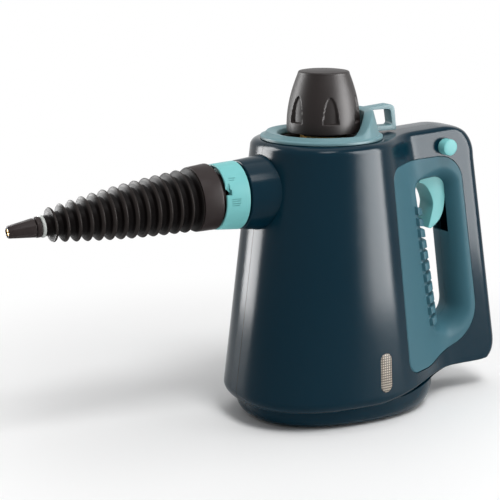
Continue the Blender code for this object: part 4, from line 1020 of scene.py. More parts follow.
def frame_section(rim, edge, width, rise, side):
    """Section of a grip frame: along the skin, round into the hand opening, and back inside."""
    rim, edge = Vector(rim), Vector(edge)
    away = (rim - edge).normalized()
    width = min(width, (rim - edge).length * ROLL_LIMIT_SHARE)
    bend = edge + away * width
    ledge = rise * RIB_HEIGHT
    points = []
    for share in SKIN_SHARES:
        points.append(skin(rim.lerp(bend, share), side, 0 if share else PANEL_SINK))
    reach = half_width(bend.x, bend.y)
    for share in ROLL_SHARES:
        angle = math.pi / 2 * share
        lift = ledge * lerp(math.sin(2 * angle), 1.0, RIB_ON_FACE) if share < 1 else 0.0
        out = Vector((math.cos(angle) * reach, math.sin(angle) * width)).normalized() * lift
        spot = bend - away * (width * math.cos(angle) + out.x)
        points.append((spot.x, side * max(reach * math.sin(angle) + out.y, SEAM_HALF), spot.y))
    for share in INNER_ROLL_SHARES:
        angle = math.pi / 2 * share
        spot = bend - away * (width - FRAME_THICK) * math.cos(angle)
        inner = (reach - FRAME_THICK) * math.sin(angle)
        points.append((spot.x, side * max(inner, SEAM_HALF), spot.y))
    points.append(skin(rim, side, FRAME_THICK))
    return points


def make_grip(name, side, node):
    """One grip panel with its finger ribs and the trigger's slot."""
    rims, edges = panel_outline(), opening_outline()
    rings = [frame_section(rim, edge, width, rise, side)
             for rim, edge, (width, rise) in zip(rims, edges, station_values())]
    grip = from_bmesh(name, loft(rings, loop=True))
    slot = TRIGGER_HALF + GAP
    carve(grip, [(slab(SLOT_CORNERS, -slot, slot), "DIFFERENCE", None)], "EXACT")
    settle(grip, "body", finishes("teal"), [node], math.radians(32))


def make_window():
    """A beige window let into the left shell; its grid is in the finish."""
    outline = [Vector(spot) for spot in stadium(0)]
    middle = Vector((LENS_X, LENS_Z))
    rings = [[skin(spot, -1, LENS_THICK) for spot in outline],
             [skin(spot, -1, 0) for spot in outline]]
    for proud, inset in LENS_EDGES:
        rings.append([skin(spot - (spot - middle).normalized() * inset, -1, -proud)
                      for spot in outline])
    lens = from_bmesh("window", loft(rings))
    settle(lens, "body", finishes("lens"), ["indicator_lens"])


def make_dish():
    """The dish with its hanging loop, rounder than its solid."""
    rings = []
    for step in range(DISH_STEPS):
        angle = 2 * math.pi * step / DISH_STEPS
        rings.append([(radius * math.cos(angle) + DISH_X, radius * math.sin(angle), height)
                      for radius, height in dish_profile(angle)])
    dish = from_bmesh("dish", loft(rings, loop=True))
    foot = max(TOP + DISH_FLANGE_THICK + GAP, TOP + (LOOP_BACK - TOP_RISE_START) * TOP_RISE + GAP)
    corner = LOOP_CORNER
    shape = ((LOOP_ROOT, LOOP_TOP - corner, corner / 4),
             (LOOP_SHOULDER, LOOP_TOP, corner * LOOP_SHOULDER_ROUND),
             (LOOP_BACK, foot, corner / 2), (LOOP_ROOT, foot, corner / 4))
    hole = ((LOOP_HOLE_FRONT - corner, LOOP_HOLE_TOP, corner / 2),
            (LOOP_HOLE_BACK - corner, LOOP_HOLE_TOP, corner * LOOP_HOLE_ROUND),
            (LOOP_HOLE_BACK, LOOP_HOLE_BOTTOM, corner),
            (LOOP_HOLE_FRONT, LOOP_HOLE_BOTTOM, corner / 2))
    plain = ((), (), (), ())
    loop = from_bmesh("dish.loop", slab(rounded(shape, FILLET_STEPS, plain), -LOOP_HALF, LOOP_HALF))
    wide = LOOP_HALF * 2
    carve(loop, [(slab(rounded(hole, FILLET_STEPS, plain), -wide, wide), "DIFFERENCE", None)])
    chamfer(loop, LOOP_EDGE, 3, math.radians(40))
    combine(dish, [(loop, "UNION")], "MANIFOLD")
    settle(dish, "body", finishes("grey_teal"), ["top_dish"], math.radians(30))


def dish_profile(angle):
    """The dish's section with its corners rounded."""
    return eased([(*point, fillet) for point, fillet in zip(dish_section(angle), DISH_FILLETS)], 3)


def flute_depth(radius, angle, height):
    """How far a cap flute sinks the side at a place."""
    turn = (angle - FLUTE_TURN) % (math.pi / 3)
    turn = min(turn, math.pi / 3 - turn)
    side = turn * radius
    if not FLUTE_FOOT < height < FLUTE_TIP:
        return 0.0
    rise = (height - FLUTE_FOOT) / (FLUTE_TIP - FLUTE_FOOT)
    half = FLUTE_HALF * (1 - rise ** FLUTE_POINT_POWER) ** 0.5 if rise < 1 else 0
    if side >= half:
        return 0.0
    near = min((half - side) / FLUTE_EDGE, (height - FLUTE_FOOT) / FLUTE_EDGE, 1)
    near = near * near * (3 - 2 * near)
    return near * FLUTE_DEEP * (1 - rise * FLUTE_FADE)


def make_cap():
    """Bullet-shaped cap with pointed flutes pressed into its side."""
    side = []
    for step in range(CAP_ROWS + 1):
        radius, height = cap_side(step / CAP_ROWS)
        if height > CAP_TOP - CAP_SOFT:
            break
        ring = []
        for turn in range(CAP_AROUND):
            angle = 2 * math.pi * turn / CAP_AROUND
            reach = radius - flute_depth(radius, angle, height)
            ring.append((reach * math.cos(angle), reach * math.sin(angle), height))
        side.append(ring)
    last, level = cap_side((CAP_TOP - CAP_SOFT - CAP_BOTTOM) / (CAP_TOP - CAP_BOTTOM))
    crown = []
    for step in range(1, FILLET_STEPS * 2 + 1):
        angle = math.pi / 2 * step / (FILLET_STEPS * 2)
        crown.append((last - CAP_SOFT * (1 - math.cos(angle)), level + CAP_SOFT * math.sin(angle)))
    crown += [(CAP_TOP_RADIUS * share, CAP_TOP + CAP_CROWN * (1 - share ** 2))
              for share in CROWN_SHARES]
    inner = [cap_side(share, CAP_WALL) for share in CAP_INNER_SHARES]
    lip = [(inner[-1][0] + CAP_WALL * CAP_LIP_INNER, CAP_BOTTOM),
           (side[0][0][0] - CAP_WALL * CAP_LIP_OUTER, CAP_BOTTOM)]
    side[0] = [(x, y, z + CAP_LIP) for x, y, z in side[0]]
    rings = [circle(*spot, CAP_AROUND) for spot in inner + lip] + side
    rings += [circle(*spot, CAP_AROUND) for spot in crown]
    cap = from_bmesh("cap", loft(rings))
    settle(cap, "cap", finishes("charcoal"), ["safety_cap"], math.radians(50))


def make_socket():
    """Tapered socket that carries the nozzle, with a soft edge at its mouth."""
    wall = SOCKET_WALL
    back, face = SOCKET_BACK, SOCKET_FACE
    profile = ((socket_radius(back), back, 0), (SOCKET_FACE_RADIUS, face, MOUTH_EDGE),
               (SPIGOT_RADIUS, face, 0), (SPIGOT_RADIUS, SPIGOT_END, PLAIN_EDGE),
               (SPIGOT_BORE, SPIGOT_END, CRISP_EDGE), (SPIGOT_BORE, SPIGOT_FLOOR, 0),
               (TUBE_RADIUS + GAP, SPIGOT_FLOOR, 0), (TUBE_RADIUS + GAP, SPIGOT_FLOOR - wall, 0),
               (SPIGOT_RADIUS, SPIGOT_FLOOR - wall, 0), (SPIGOT_RADIUS, face - wall, 0),
               (SOCKET_FACE_RADIUS - wall, face - wall, 0), (socket_radius(back) - wall, back, 0))
    socket = from_bmesh("socket", lathe(eased(profile), FINE), NOZZLE)
    settle(socket, "body", finishes("petrol"), ["nozzle_socket"])


def make_collar():
    """Aqua locking collar with a stepped notch and plain grooves, which mean nothing."""
    seat = SOCKET_FACE + GAP
    throat = COLLAR_END - COLLAR_THROAT_DEPTH
    profile = ((SPIGOT_RADIUS + GAP, seat, 0), (COLLAR_THROAT, seat, 0),
               (COLLAR_THROAT, COLLAR_START, 0), (COLLAR_BACK_RADIUS, COLLAR_START, SOFT_EDGE),
               (COLLAR_FRONT_RADIUS, COLLAR_END, BROAD_EDGE),
               (COLLAR_FRONT_RADIUS - COLLAR_LIP, COLLAR_END, PLAIN_EDGE),
               (COLLAR_THROAT, throat, 0), (SPIGOT_RADIUS + GAP, throat, 0))
    collar = from_bmesh("collar", lathe(eased(profile), FINE), NOZZLE)
    outside = -COLLAR_FRONT_RADIUS * COLLAR_CUT_PAST
    inside = -COLLAR_FRONT_RADIUS + NOTCH_INTO
    tools = []
    for low, deep in ((NOTCH_X, NOTCH_DEEP), (NOTCH_X - NOTCH_STEP, NOTCH_DEEP * NOTCH_STEP_DEEP)):
        corners = oblong(low, low + NOTCH_STEP, COLLAR_END - deep, COLLAR_END + deep)
        tools.append((slab(corners, outside, inside), "DIFFERENCE", NOZZLE))
    for height, long in MARKS:
        front = COLLAR_END - NOTCH_DEEP * MARK_BACK
        depth = (COLLAR_FRONT_RADIUS ** 2 - height ** 2) ** 0.5 - MARK_DEEP
        corners = oblong(height, height + MARK_WIDE, front - long, front)
        tools.append((slab(corners, outside, -depth), "DIFFERENCE", NOZZLE))
    carve(collar, tools)
    settle(collar, "body", finishes("aqua"), ["locking_collar"])


def fold_depth(place):
    """How far the bellows sink between two crests; place runs from 0 to 1."""
    away = min(1.0, min(place, 1 - place) / CREST_HALF)
    return CREST_SINK * (1 - (1 - away ** CREST_BEND) ** (1 / CREST_BEND))


def bellows_profile():
    """Thin crests with broad hollows between them, the first one against the cup."""
    points = []
    for index in range(-1, CREST_COUNT - 1):
        for step in range(CREST_DETAIL):
            place = step / CREST_DETAIL
            radius = lerp(crest_radius(index), crest_radius(index + 1), place)
            points.append((radius - fold_depth(place), FIRST_CREST + (index + place) * CREST_PITCH))
    return points


def ride_accessory(name, made, finish, node, smooth=math.radians(35)):
    """Puts one piece of the nozzle on its line and body."""
    piece = from_bmesh(name, made, ACCESSORY)
    settle(piece, "accessory", finishes(finish), [node], smooth)


def make_cup():
    """Nozzle cup with its bayonet stub, its flange and a sleeve for the bellows."""
    start, end = CUP_START, CUP_END
    bore = LANCE_RADIUS + GAP
    sleeve = CUP_RADIUS - CUP_WALL
    profile = ((bore, -STUB_BACK, 0), (STUB_RADIUS, -STUB_BACK, PLAIN_EDGE), (STUB_RADIUS, 0, 0),
               (FLANGE_RADIUS, 0, PLAIN_EDGE), (FLANGE_RADIUS, start, NEAT_EDGE),
               (CUP_BACK_RADIUS, start, CUP_EDGE), (CUP_RADIUS, end, CRISP_EDGE),
               (sleeve, end, 0), (sleeve, end - SLEEVE_DEEP, 0), (bore, end - SLEEVE_DEEP, 0))
    ride_accessory("cup", lathe(eased(profile), FINE), "black", "nozzle_cup")


def make_bellows():
    """Bellows from inside the cup's sleeve to the neck behind the washer."""
    bore = LANCE_RADIUS + GAP
    sleeve = CUP_RADIUS - CUP_WALL - GAP
    back, end = CUP_END - SLEEVE_DEEP + GAP, CUP_END + GAP
    last = FIRST_CREST + (CREST_COUNT - 1) * CREST_PITCH
    outer = bellows_profile()
    inner = [(max(radius - BELLOWS_WALL - CREST_SINK, bore), height)
             for radius, height in outer[::CREST_DETAIL]]
    closed = [(sleeve - BELLOWS_WALL, back), (sleeve, back), (sleeve, end), (crest_radius(0), end)]
    closed += outer + [(CREST_SMALL, last), (CREST_SMALL - CREST_ROUND, last + CREST_ROUND * 2)]
    for step in range(1, FILLET_STEPS + 1):
        share = step / FILLET_STEPS
        closed.append((lerp(CREST_SMALL - CREST_ROUND, END_NECK, 1 - (1 - share) ** 2),
                       last + CREST_ROUND * 2 + CREST_PITCH * END_RUN * share ** 2))
    closed += [(END_NECK, WASHER_PLACE - GAP), (bore, WASHER_PLACE - GAP)] + inner[::-1]
    ride_accessory("bellows.folds", lathe(closed, FINE), "bellows", "bellows",
                   math.radians(60))


def make_washer_and_nut():
    """Pale washer and black nut behind the tip."""
    bore = LANCE_RADIUS + GAP
    front = WASHER_PLACE + WASHER_THICK
    ring = ((bore, WASHER_PLACE, 0), (WASHER_RADIUS, WASHER_PLACE, SOFT_EDGE),
            (WASHER_RADIUS, front, SOFT_EDGE), (bore, front, 0))
    ride_accessory("washer", lathe(eased(ring), MIDDLING), "pale", "end_washer")
    ring = ((bore, NUT_PLACE, 0), (NUT_RADIUS, NUT_PLACE, PLAIN_EDGE),
            (NUT_RADIUS, NUT_PLACE + NUT_THICK, EASY_EDGE), (bore, NUT_PLACE + NUT_THICK, 0))
    ride_accessory("nut", lathe(eased(ring), MIDDLING), "black", "tip_nut")


def make_tip():
    """Faceted, tapering tip with soft edges, bored for its brass jet."""
    start = NUT_PLACE + NUT_THICK + GAP
    seat, end = start + TIP_LONG / 3, start + TIP_LONG
    rings = []
    for share in (0, 1 / 3, 2 / 3, 1):
        half = lerp(TIP_BACK_HALF, TIP_FRONT_HALF, share)
        reach = half / math.cos(math.pi / TIP_SIDES)
        angles = [math.pi * (2 * side + 1) / TIP_SIDES for side in range(TIP_SIDES)]
        rings.append([(reach * math.cos(angle), reach * math.sin(angle), lerp(start, end, share))
                      for angle in angles])
    body = from_bmesh("nozzle_tip", loft(rings))
    chamfer(body, TIP_EDGE, 3, math.radians(30))
    back = rod(LANCE_RADIUS + GAP, start - GAP, seat + GAP, SMALL)
    carve(body, [(back, "DIFFERENCE", None),
                 (rod(TIP_BORE, seat, end + GAP, SMALL), "DIFFERENCE", None)])
    body.data.transform(ACCESSORY)
    settle(body, "accessory", finishes("black"), ["tip"])
    front = end - JET_HOLE
    ring = ((JET_HOLE, front - JET_LONG, 0), (JET_RADIUS, front - JET_LONG, 0),
            (JET_RADIUS, front, NEAT_EDGE), (JET_HOLE, front, CRISP_EDGE))
    ride_accessory("jet", lathe(eased(ring), MIDDLING), "brass", "brass_jet")


def smooth_line(points, steps):
    """A Catmull-Rom curve through an open run of points."""
    line = []
    count = len(points)
    for index in range(count - 1):
        ends = [Vector(points[max(index - 1, 0)]), Vector(points[index]), Vector(points[index + 1]),
                Vector(points[min(index + 2, count - 1)])]
        for step in range(steps):
            t = step / steps
            line.append(tuple(0.5 * (2 * ends[1] + (ends[2] - ends[0]) * t
                                     + (2 * ends[0] - 5 * ends[1] + 4 * ends[2] - ends[3]) * t ** 2
                                     + (3 * ends[1] - ends[0] - 3 * ends[2] + ends[3]) * t ** 3)))
    line.append(tuple(points[-1]))
    return line


def make_trigger():
    """Curved finger piece on its hub, with soft edges."""
    front = smooth_line(TRIGGER_FRONT, 6)
    back = smooth_line(TRIGGER_BACK, 4) + list(TRIGGER_HEEL)
    half = TRIGGER_HALF
    trigger = from_bmesh("finger_trigger", slab(front + back, -half, half))
    chamfer(trigger, TRIGGER_EDGE, 4, math.radians(50))
    arm = slab(oblong(PIVOT_X - ARM_THICK / 2, PIVOT_X + ARM_THICK / 2, PIVOT_Z, ARM_TOP),
               -ARM_HALF, ARM_HALF)
    pivot = across(PIVOT_X, PIVOT_Z)
    carve(trigger, [(rod(HUB_RADIUS, -half, half, MIDDLING), "UNION", pivot), (arm, "UNION", None),
                    (rod(PIN_RADIUS + GAP, -half * 2, half * 2, SMALL), "DIFFERENCE", pivot)])
    settle(trigger, "trigger", finishes("aqua"), ["trigger"], math.radians(40))


def make_button():
    """Cross bolt with domed, softly edged ends, necked in the middle."""
    left = -HANDLE_HALF - BUTTON_PROUD
    right = HANDLE_HALF + BUTTON_PROUD - BUTTON_TRAVEL
    neck = BUTTON_NECK_HALF + BUTTON_TRAVEL
    dome = BUTTON_CHAMFER
    flat = BUTTON_RADIUS * BUTTON_FLAT
    profile = ((0, left, 0), (flat, left + dome * DOME_FLAT, 0),
               (BUTTON_RADIUS, left + dome * DOME_SIDE, dome), (BUTTON_RADIUS, -neck, SHARP_EDGE),
               (BUTTON_NECK, -neck, 0), (BUTTON_NECK, BUTTON_NECK_HALF, 0),
               (BUTTON_RADIUS, BUTTON_NECK_HALF, SHARP_EDGE),
               (BUTTON_RADIUS, right - dome * DOME_SIDE, dome), (flat, right - dome * DOME_FLAT, 0),
               (0, right, 0))
    bolt = from_bmesh("lock_bolt", lathe(eased(profile), MIDDLING), across(BUTTON_X, BUTTON_Z))
    settle(bolt, "lock_button", finishes("aqua"), ["lock_button"])


def make_foot():
    """Rubber feet with rounded edges, and the base plate's finish."""
    profile = ((0, 0, 0), (PAD_RADIUS, 0, EASY_EDGE), (PAD_RADIUS, PAD_HEIGHT, 0),
               (0, PAD_HEIGHT, 0))
    for number, (along, side) in enumerate(((-1, -1), (-1, 1), (1, -1), (1, 1)), 1):
        place = Matrix.Translation((FOOT_X + along * PAD_X, side * PAD_Y, 0))
        pad = from_bmesh(f"foot_pad_{number}", lathe(eased(profile), MIDDLING), place)
        settle(pad, "body", finishes("rubber"), [f"rubber_foot_{number}"])
    dress(finishes("inner"), "base_plate")


def make_well():
    """Black funnel floor round the filler neck."""
    top, thick = TOP - GAP, WELL_THICK
    neck = NECK_TUBE + GAP
    profile = ((neck, WELL_FLOOR - thick, 0), (WELL_RADIUS + thick, WELL_FLOOR - thick, 0),
               (WELL_RADIUS + thick, top - thick, 0), (WELL_RIM, top - thick, 0), (WELL_RIM, top, 0),
               (WELL_RADIUS, top, BROAD_EDGE), (WELL_RADIUS, WELL_FLOOR, WELL_ROUND),
               (neck, WELL_FLOOR, CRISP_EDGE))
    well = from_bmesh("well", lathe(eased(profile), FINE))
    settle(well, "body", finishes("black"), ["neck_well"])


def make_gland():
    """Rubber sleeve where the mains lead leaves the handle."""
    profile = ((GLAND_BORE, -GLAND_LONG, 0), (GLAND_RADIUS, -GLAND_LONG, 0), (GLAND_RADIUS, GAP, 0),
               (GLAND_FLANGE, GAP, 0), (GLAND_FLANGE, GLAND_PROUD, GLAND_ROUND),
               (GLAND_BORE, GLAND_PROUD, NEAT_EDGE))
    gland = from_bmesh("lead_gland", lathe(eased(profile), MIDDLING), gland_frame())
    settle(gland, "body", finishes("rubber"), ["cord_gland"])


def make_screws():
    """Cross-headed case screws deep in the right shell."""
    head = SCREW_DEEP + GAP
    top = head + SCREW_HEAD_THICK
    deep, arm, half = top - CROSS_DEEP, SCREW_HEAD * CROSS_LONG, SCREW_HEAD * CROSS_HALF
    profile = ((0, head - SCREW_LONG, 0), (SCREW_RADIUS, head - SCREW_LONG, 0),
               (SCREW_RADIUS, head, 0), (SCREW_HEAD, head, 0), (SCREW_HEAD, top, SOFT_EDGE), (0, top, 0))
    for number, (along, up) in enumerate(SCREW_PLACES, 1):
        screw = from_bmesh(f"cross_screw_{number}", lathe(eased(profile), MIDDLING))
        for wide, tall in ((arm, half), (half, arm)):
            cross = loft([[(x, y, z) for x, y in oblong(-wide, wide, -tall, tall)]
                          for z in (deep, top * CROSS_PAST)])
            carve(screw, [(cross, "DIFFERENCE", None)])
        screw.data.transform(across(along, up))
        settle(screw, "body", finishes("steel"), [f"case_screw_{number}"])


def finish_hidden():
    """Finishes of the solids that are shown as they are, inside the body."""
    dress(finishes("lamp"), "indicator_lamp")
    dress(finishes("brass"), "filler_neck", "steam_valve")
    dress(finishes("steel"), "boiler", "boiler_bracket", "lance_tube", "trigger_pin",
          "trigger_spring", "valve_rod")
    dress(finishes("cast"), "heating_element")
    dress(finishes("felt"), "insulation_sleeve")
    dress(finishes("ceramic"), "thermal_fuse", "terminal_block")
    dress(finishes("hose"), "steam_tube_in", "steam_tube_out")
    dress(finishes("inner"), "thermostat", "cap_stem")
    dress(finishes("rubber"), "seal_ring", "cap_gasket")


def mix(name):
    """A new material to be mixed."""
    return Recipe(bpy.data.materials.new(name))


def moulded(name, color, roughness, grain=9000.0, depth=0.00002, mottle=0.03, gloss=0.5, seam=False):
    """Moulded plastic: fine grain, faint mottling, scuffs in the gloss and a dark seam.

    The gloss of what shows is set well below a real plastic's, because the stage is white.
    """
    recipe = mix(name)
    broad = recipe.noise(22.0, 3.0)
    fine = recipe.noise(grain, 2.0)
    streaks = recipe.noise(60.0, 4.0, recipe.stretched(SCUFF_STRETCH, SCUFF_TURN))
    scuffs = streaks.step(*SCUFF_EDGES)
    shown = recipe.blend(broad, shade_of(color, 1 - mottle), shade_of(color, 1 + mottle))
    if seam:
        beside = recipe.parts()[1].abs().step(SEAM_SHADE * 0.5, SEAM_SHADE)
        shown = recipe.blend(beside, shade_of(color, 0.15), shown)
    rough = (broad - 0.5) * 0.05 + (fine - 0.5) * 0.04 + scuffs * 0.04 + roughness
    return recipe.finish({"Base Color": shown, "Roughness": rough, "Specular IOR Level": gloss,
                          "Normal": recipe.bump(fine, depth, 0.5)})


def turned_metal(name, color, roughness, axis=2):
    """Metal with fine lines round an axis from turning or drawing."""
    recipe = mix(name)
    scale = [260.0] * 3
    scale[axis] = 9000.0
    lines = recipe.noise(1.0, 3.0, recipe.stretched(scale))
    broad = recipe.noise(40.0, 3.0)
    shown = recipe.blend(broad, shade_of(color, 0.86), shade_of(color, 1.06))
    rough = lines * 0.12 + (broad - 0.5) * 0.08 + roughness
    return recipe.finish({"Base Color": shown, "Roughness": rough, "Metallic": 1.0,
                          "Normal": recipe.bump(lines, 0.00002, 0.4)})


def folded_black(name, color, gloss):
    """Soft black of the bellows, with a warm painted highlight on the crests and painted shade in the
    hollows.
    """
    recipe = mix(name)
    turn = ACCESSORY.inverted() @ Matrix.Translation((-SHIFT, 0, 0))
    local = recipe.stretched((1, 1, 1), tuple(turn.to_euler()), tuple(turn.translation))
    x, y, z = recipe.parts(local)
    radius = (x * x + y * y).power(0.5)
    taper = (z - FIRST_CREST) * ((CREST_SMALL - CREST_BIG) / (CREST_PITCH * (CREST_COUNT - 1)))
    # Mask of the crests, where the painted highlight goes; the hollows outside it get painted shade
    crest = (radius - taper - CREST_BIG).step(-CREST_SINK * HIGHLIGHT_DEEP, -CREST_SINK * HIGHLIGHT_TOP)
    patchiness = recipe.noise(140.0, 5.0)
    fine = recipe.noise(6000.0, 2.0)
    # Crests painted lighter as a highlight, broken up by patchy noise; hollows painted dark as shade
    shown = recipe.blend(crest * (patchiness * 0.5 + 0.4), shade_of(color, 0.16), CREST_HIGHLIGHT)
    rough = 0.44 - crest * 0.12 + patchiness * 0.08
    return recipe.finish({"Base Color": shown, "Roughness": rough, "Specular IOR Level": gloss,
                          "Normal": recipe.bump(fine, 0.00003, 0.5)})


def brushed_charcoal(name, color, gloss):
    """Charcoal plastic of the cap, with faint lines round it."""
    recipe = mix(name)
    lines = recipe.noise(1.0, 4.0, recipe.stretched((26.0, 26.0, 2600.0)))
    broad = recipe.noise(60.0, 4.0)
    fine = recipe.noise(8000.0, 2.0)
    shown = recipe.blend((lines - 0.5) * 0.6 + broad, shade_of(color, 0.88), shade_of(color, 1.14))
    rough = (lines - 0.5) * 0.10 + (broad - 0.5) * 0.08 + 0.44
    grain = lines * 0.6 + fine * 0.4
    return recipe.finish({"Base Color": shown, "Roughness": rough, "Specular IOR Level": gloss,
                          "Normal": recipe.bump(grain, 0.00003, 0.6)})


def gridded_lens(name, color, gloss):
    """Cloudy window with a fine square grid of pale bars round dark cells."""
    recipe = mix(name)
    x, _, z = recipe.parts()
    sideways = (x / GRID_PITCH).fraction() - 0.5
    upward = (z / GRID_PITCH).fraction() - 0.5
    bars = sideways.abs().larger(upward.abs()).step(*GRID_EDGES)
    cloud = recipe.noise(180.0, 3.0)
    pale = recipe.blend(cloud, shade_of(color, 1.1), shade_of(color, 1.5))
    dark = recipe.blend(cloud, shade_of(color, 0.16), shade_of(color, 0.32))
    return recipe.finish({"Base Color": recipe.blend(bars, pale, dark),
                          "Roughness": bars * 0.10 + 0.16, "Specular IOR Level": gloss,
                          "Normal": recipe.bump(bars, 0.0001, 0.4)})


def felted(name, color):
    """Needled felt round the boiler."""
    recipe = mix(name)
    fibres = recipe.noise(900.0, 8.0, None, 0.7)
    shown = recipe.blend(fibres, shade_of(color, 0.7), shade_of(color, 1.1))
    return recipe.finish({"Base Color": shown, "Roughness": fibres * 0.1 + 0.85,
                          "Normal": recipe.bump(fibres, 0.0006, 0.8)})


def speckled(name, color, roughness, metallic=0.0):
    """Cast or fired surface with fine speckle."""
    recipe = mix(name)
    grains = recipe.cells(1200.0)
    broad = recipe.noise(80.0, 4.0)
    shown = recipe.blend(grains, shade_of(color, 0.85), shade_of(color, 1.05))
    return recipe.finish({"Base Color": shown, "Roughness": broad * 0.12 + roughness,
                          "Metallic": metallic, "Normal": recipe.bump(grains, 0.0001, 0.5)})


MADE = {}


def finishes(key):
    """The material of one finish, mixed the first time that it is asked for."""
    if key in MADE:
        return MADE[key]
    colors = bpy.context.scene.steam_colors
    mixes = {
        "petrol": lambda: moulded("petrol_plastic", colors.petrol, 0.16, gloss=0.09, seam=True),
        "teal": lambda: moulded("teal_plastic", colors.teal, 0.46, grain=3000.0, depth=0.00005,
                                mottle=0.04, gloss=0.05),
        "grey_teal": lambda: moulded("grey_teal_plastic", colors.grey_teal, 0.40, grain=6000.0,
                                     depth=0.00003, gloss=0.14),
        "aqua": lambda: moulded("aqua_plastic", colors.aqua, 0.36, grain=7000.0, mottle=0.025,
                                gloss=0.06),
        "black": lambda: moulded("black_plastic", colors.black, 0.40, grain=5000.0, depth=0.00003,
                                 mottle=0.10, gloss=0.08),
        "bellows": lambda: folded_black("bellows_plastic", colors.black, 0.05),
        "charcoal": lambda: brushed_charcoal("charcoal_plastic", colors.charcoal, 0.16),
        "pale": lambda: moulded("pale_plastic", colors.pale, 0.45, grain=5000.0, depth=0.00003,
                                mottle=0.05),
        "lens": lambda: gridded_lens("beige_lens", colors.lens, 0.06),
        "lamp": lambda: moulded("lamp_plastic", LAMP_COLOR, 0.2),
        "inner": lambda: moulded("inner_plastic", INNER_COLOR, 0.55, grain=4000.0, depth=0.00004),
        "rubber": lambda: moulded("matt_rubber", RUBBER_COLOR, 0.72, grain=3500.0, depth=0.00006,
                                  mottle=0.15),
        "brass": lambda: turned_metal("turned_brass", BRASS_COLOR, 0.22, axis=0),
        "steel": lambda: turned_metal("brushed_steel", STEEL_COLOR, 0.24),
        "cast": lambda: speckled("cast_alloy", CAST_COLOR, 0.42, metallic=1.0),
        "felt": lambda: felted("needled_felt", FELT_COLOR),
        "ceramic": lambda: speckled("fired_ceramic", CERAMIC_COLOR, 0.55),
        "hose": lambda: moulded("silicone_hose", HOSE_COLOR, 0.42, grain=3000.0, depth=0.00004),
    }
    MADE[key] = mixes[key]()
    return MADE[key]


def pale_floor(name, color):
    """Pale floor that fades to plain white away from the part, further out in gloss and glass."""
    recipe = mix(name)
    x, y, _ = recipe.parts()
    away = ((x - SHIFT) * (x - SHIFT) + y * y).power(0.5)
    grain = recipe.noise(900.0, 3.0)
    shader = recipe.node("ShaderNodeBsdfPrincipled", {}, {
        "Base Color": recipe.blend(grain, shade_of(color, 0.985), color),
        "Roughness": grain * 0.1 + 0.55, "Specular IOR Level": 0.2})
    glow = recipe.node("ShaderNodeEmission", {}, {"Color": WHITE, "Strength": 1.0})
    camera, gloss, glass = recipe.rays()
    glowing = camera * away.step(FLOOR_NEAR, FLOOR_FAR)
    glowing = glowing.larger((gloss + glass) * away.step(GLOSS_NEAR, GLOSS_FAR))
    both = recipe.node("ShaderNodeMixShader", {}, {0: glowing, 1: shader, 2: glow})
    recipe.node("ShaderNodeOutputMaterial", {}, {"Surface": both})
    return recipe.owner


def make_floor(settings):
    """The pale square that the part stands on."""
    half = settings.floor_half
    data = bpy.data.meshes.new("floor")
    corners = [(x, y, 0) for x, y in oblong(SHIFT - half, SHIFT + half, -half, half)]
    data.from_pydata(corners, [], [(0, 1, 2, 3)])
    floor = bpy.data.objects.new("floor", data)
    bpy.context.scene.collection.objects.link(floor)
    data.materials.append(pale_floor("pale_floor", settings.floor_color))


def make_lamp(name, place, size, power, diffuse):
    """An area lamp that the camera doesn't see; with diffuse off, only gloss shows it."""
    data = bpy.data.lights.new(name, "AREA")
    data.shape, data.size, data.size_y = "RECTANGLE", size[0], size[1]
    data.energy = power
    lamp = bpy.data.objects.new(name, data)
    bpy.context.scene.collection.objects.link(lamp)
    lamp.visible_camera, lamp.visible_diffuse = False, diffuse
    lamp.location = Vector(place) + Vector((SHIFT, 0, 0))
    look = Vector(MIDDLE) + Vector((SHIFT, 0, 0)) - lamp.location
    lamp.rotation_euler = look.to_track_quat("-Z", "Y").to_euler()


def make_world(level):
    """Soft white surroundings; the camera, gloss and glass see plain white."""
    recipe = Recipe(bpy.data.worlds.new("studio"))
    camera, gloss, glass = recipe.rays()
    seen = camera.larger(gloss).larger(glass)
    sky = recipe.node("ShaderNodeBackground", {}, {"Color": WHITE,
                                                   "Strength": seen * (1 - level) + level})
    recipe.node("ShaderNodeOutputWorld", {}, {"Surface": sky})
    bpy.context.scene.world = recipe.owner


def make_camera(settings):
    """The photograph's view."""
    data = bpy.data.cameras.new("photo_view")
    data.sensor_width, data.lens = SENSOR_WIDTH, settings.lens
    data.clip_start, data.clip_end = CLIP_START, CLIP_END
    camera = bpy.data.objects.new("photo_view", data)
    bpy.context.scene.collection.objects.link(camera)
    camera.location = Vector(settings.camera_place) + Vector((SHIFT, 0, 0))
    camera.rotation_euler = Vector(settings.camera_aim).to_track_quat("-Z", "Y").to_euler()
    bpy.context.scene.camera = camera


def tint(name, description, default):
    """A colour that the panel shows."""
    return FloatVectorProperty(name=name, description=description, default=default, size=3, min=0.0,
                               max=1.0, subtype="COLOR")


def power(name, description, default):
    """A lamp's power that the panel shows."""
    return FloatProperty(name=name, description=description, default=default, min=0.0, unit="POWER")


class STEAM_PG_colors(bpy.types.PropertyGroup):
    """Colours that a user would change."""

    petrol: tint("Body", "Dark petrol blue of the shells", (0.0010, 0.0190, 0.0335))
    teal: tint("Grip", "Teal of the grip panels", (0.046, 0.130, 0.166))
    grey_teal: tint("Dish", "Grey teal of the dish", (0.140, 0.262, 0.290))
    aqua: tint("Controls", "Aqua of trigger, bolt and collar", (0.200, 0.545, 0.550))
    black: tint("Nozzle", "Black of cup, bellows and tip", (0.0290, 0.0220, 0.0215))
    charcoal: tint("Cap", "Charcoal of the safety cap", (0.0185, 0.0145, 0.0140))
    pale: tint("Washer", "Pale washer behind the tip", (0.42, 0.44, 0.42))
    lens: tint("Window", "Beige of the indicator window", (0.42, 0.375, 0.32))


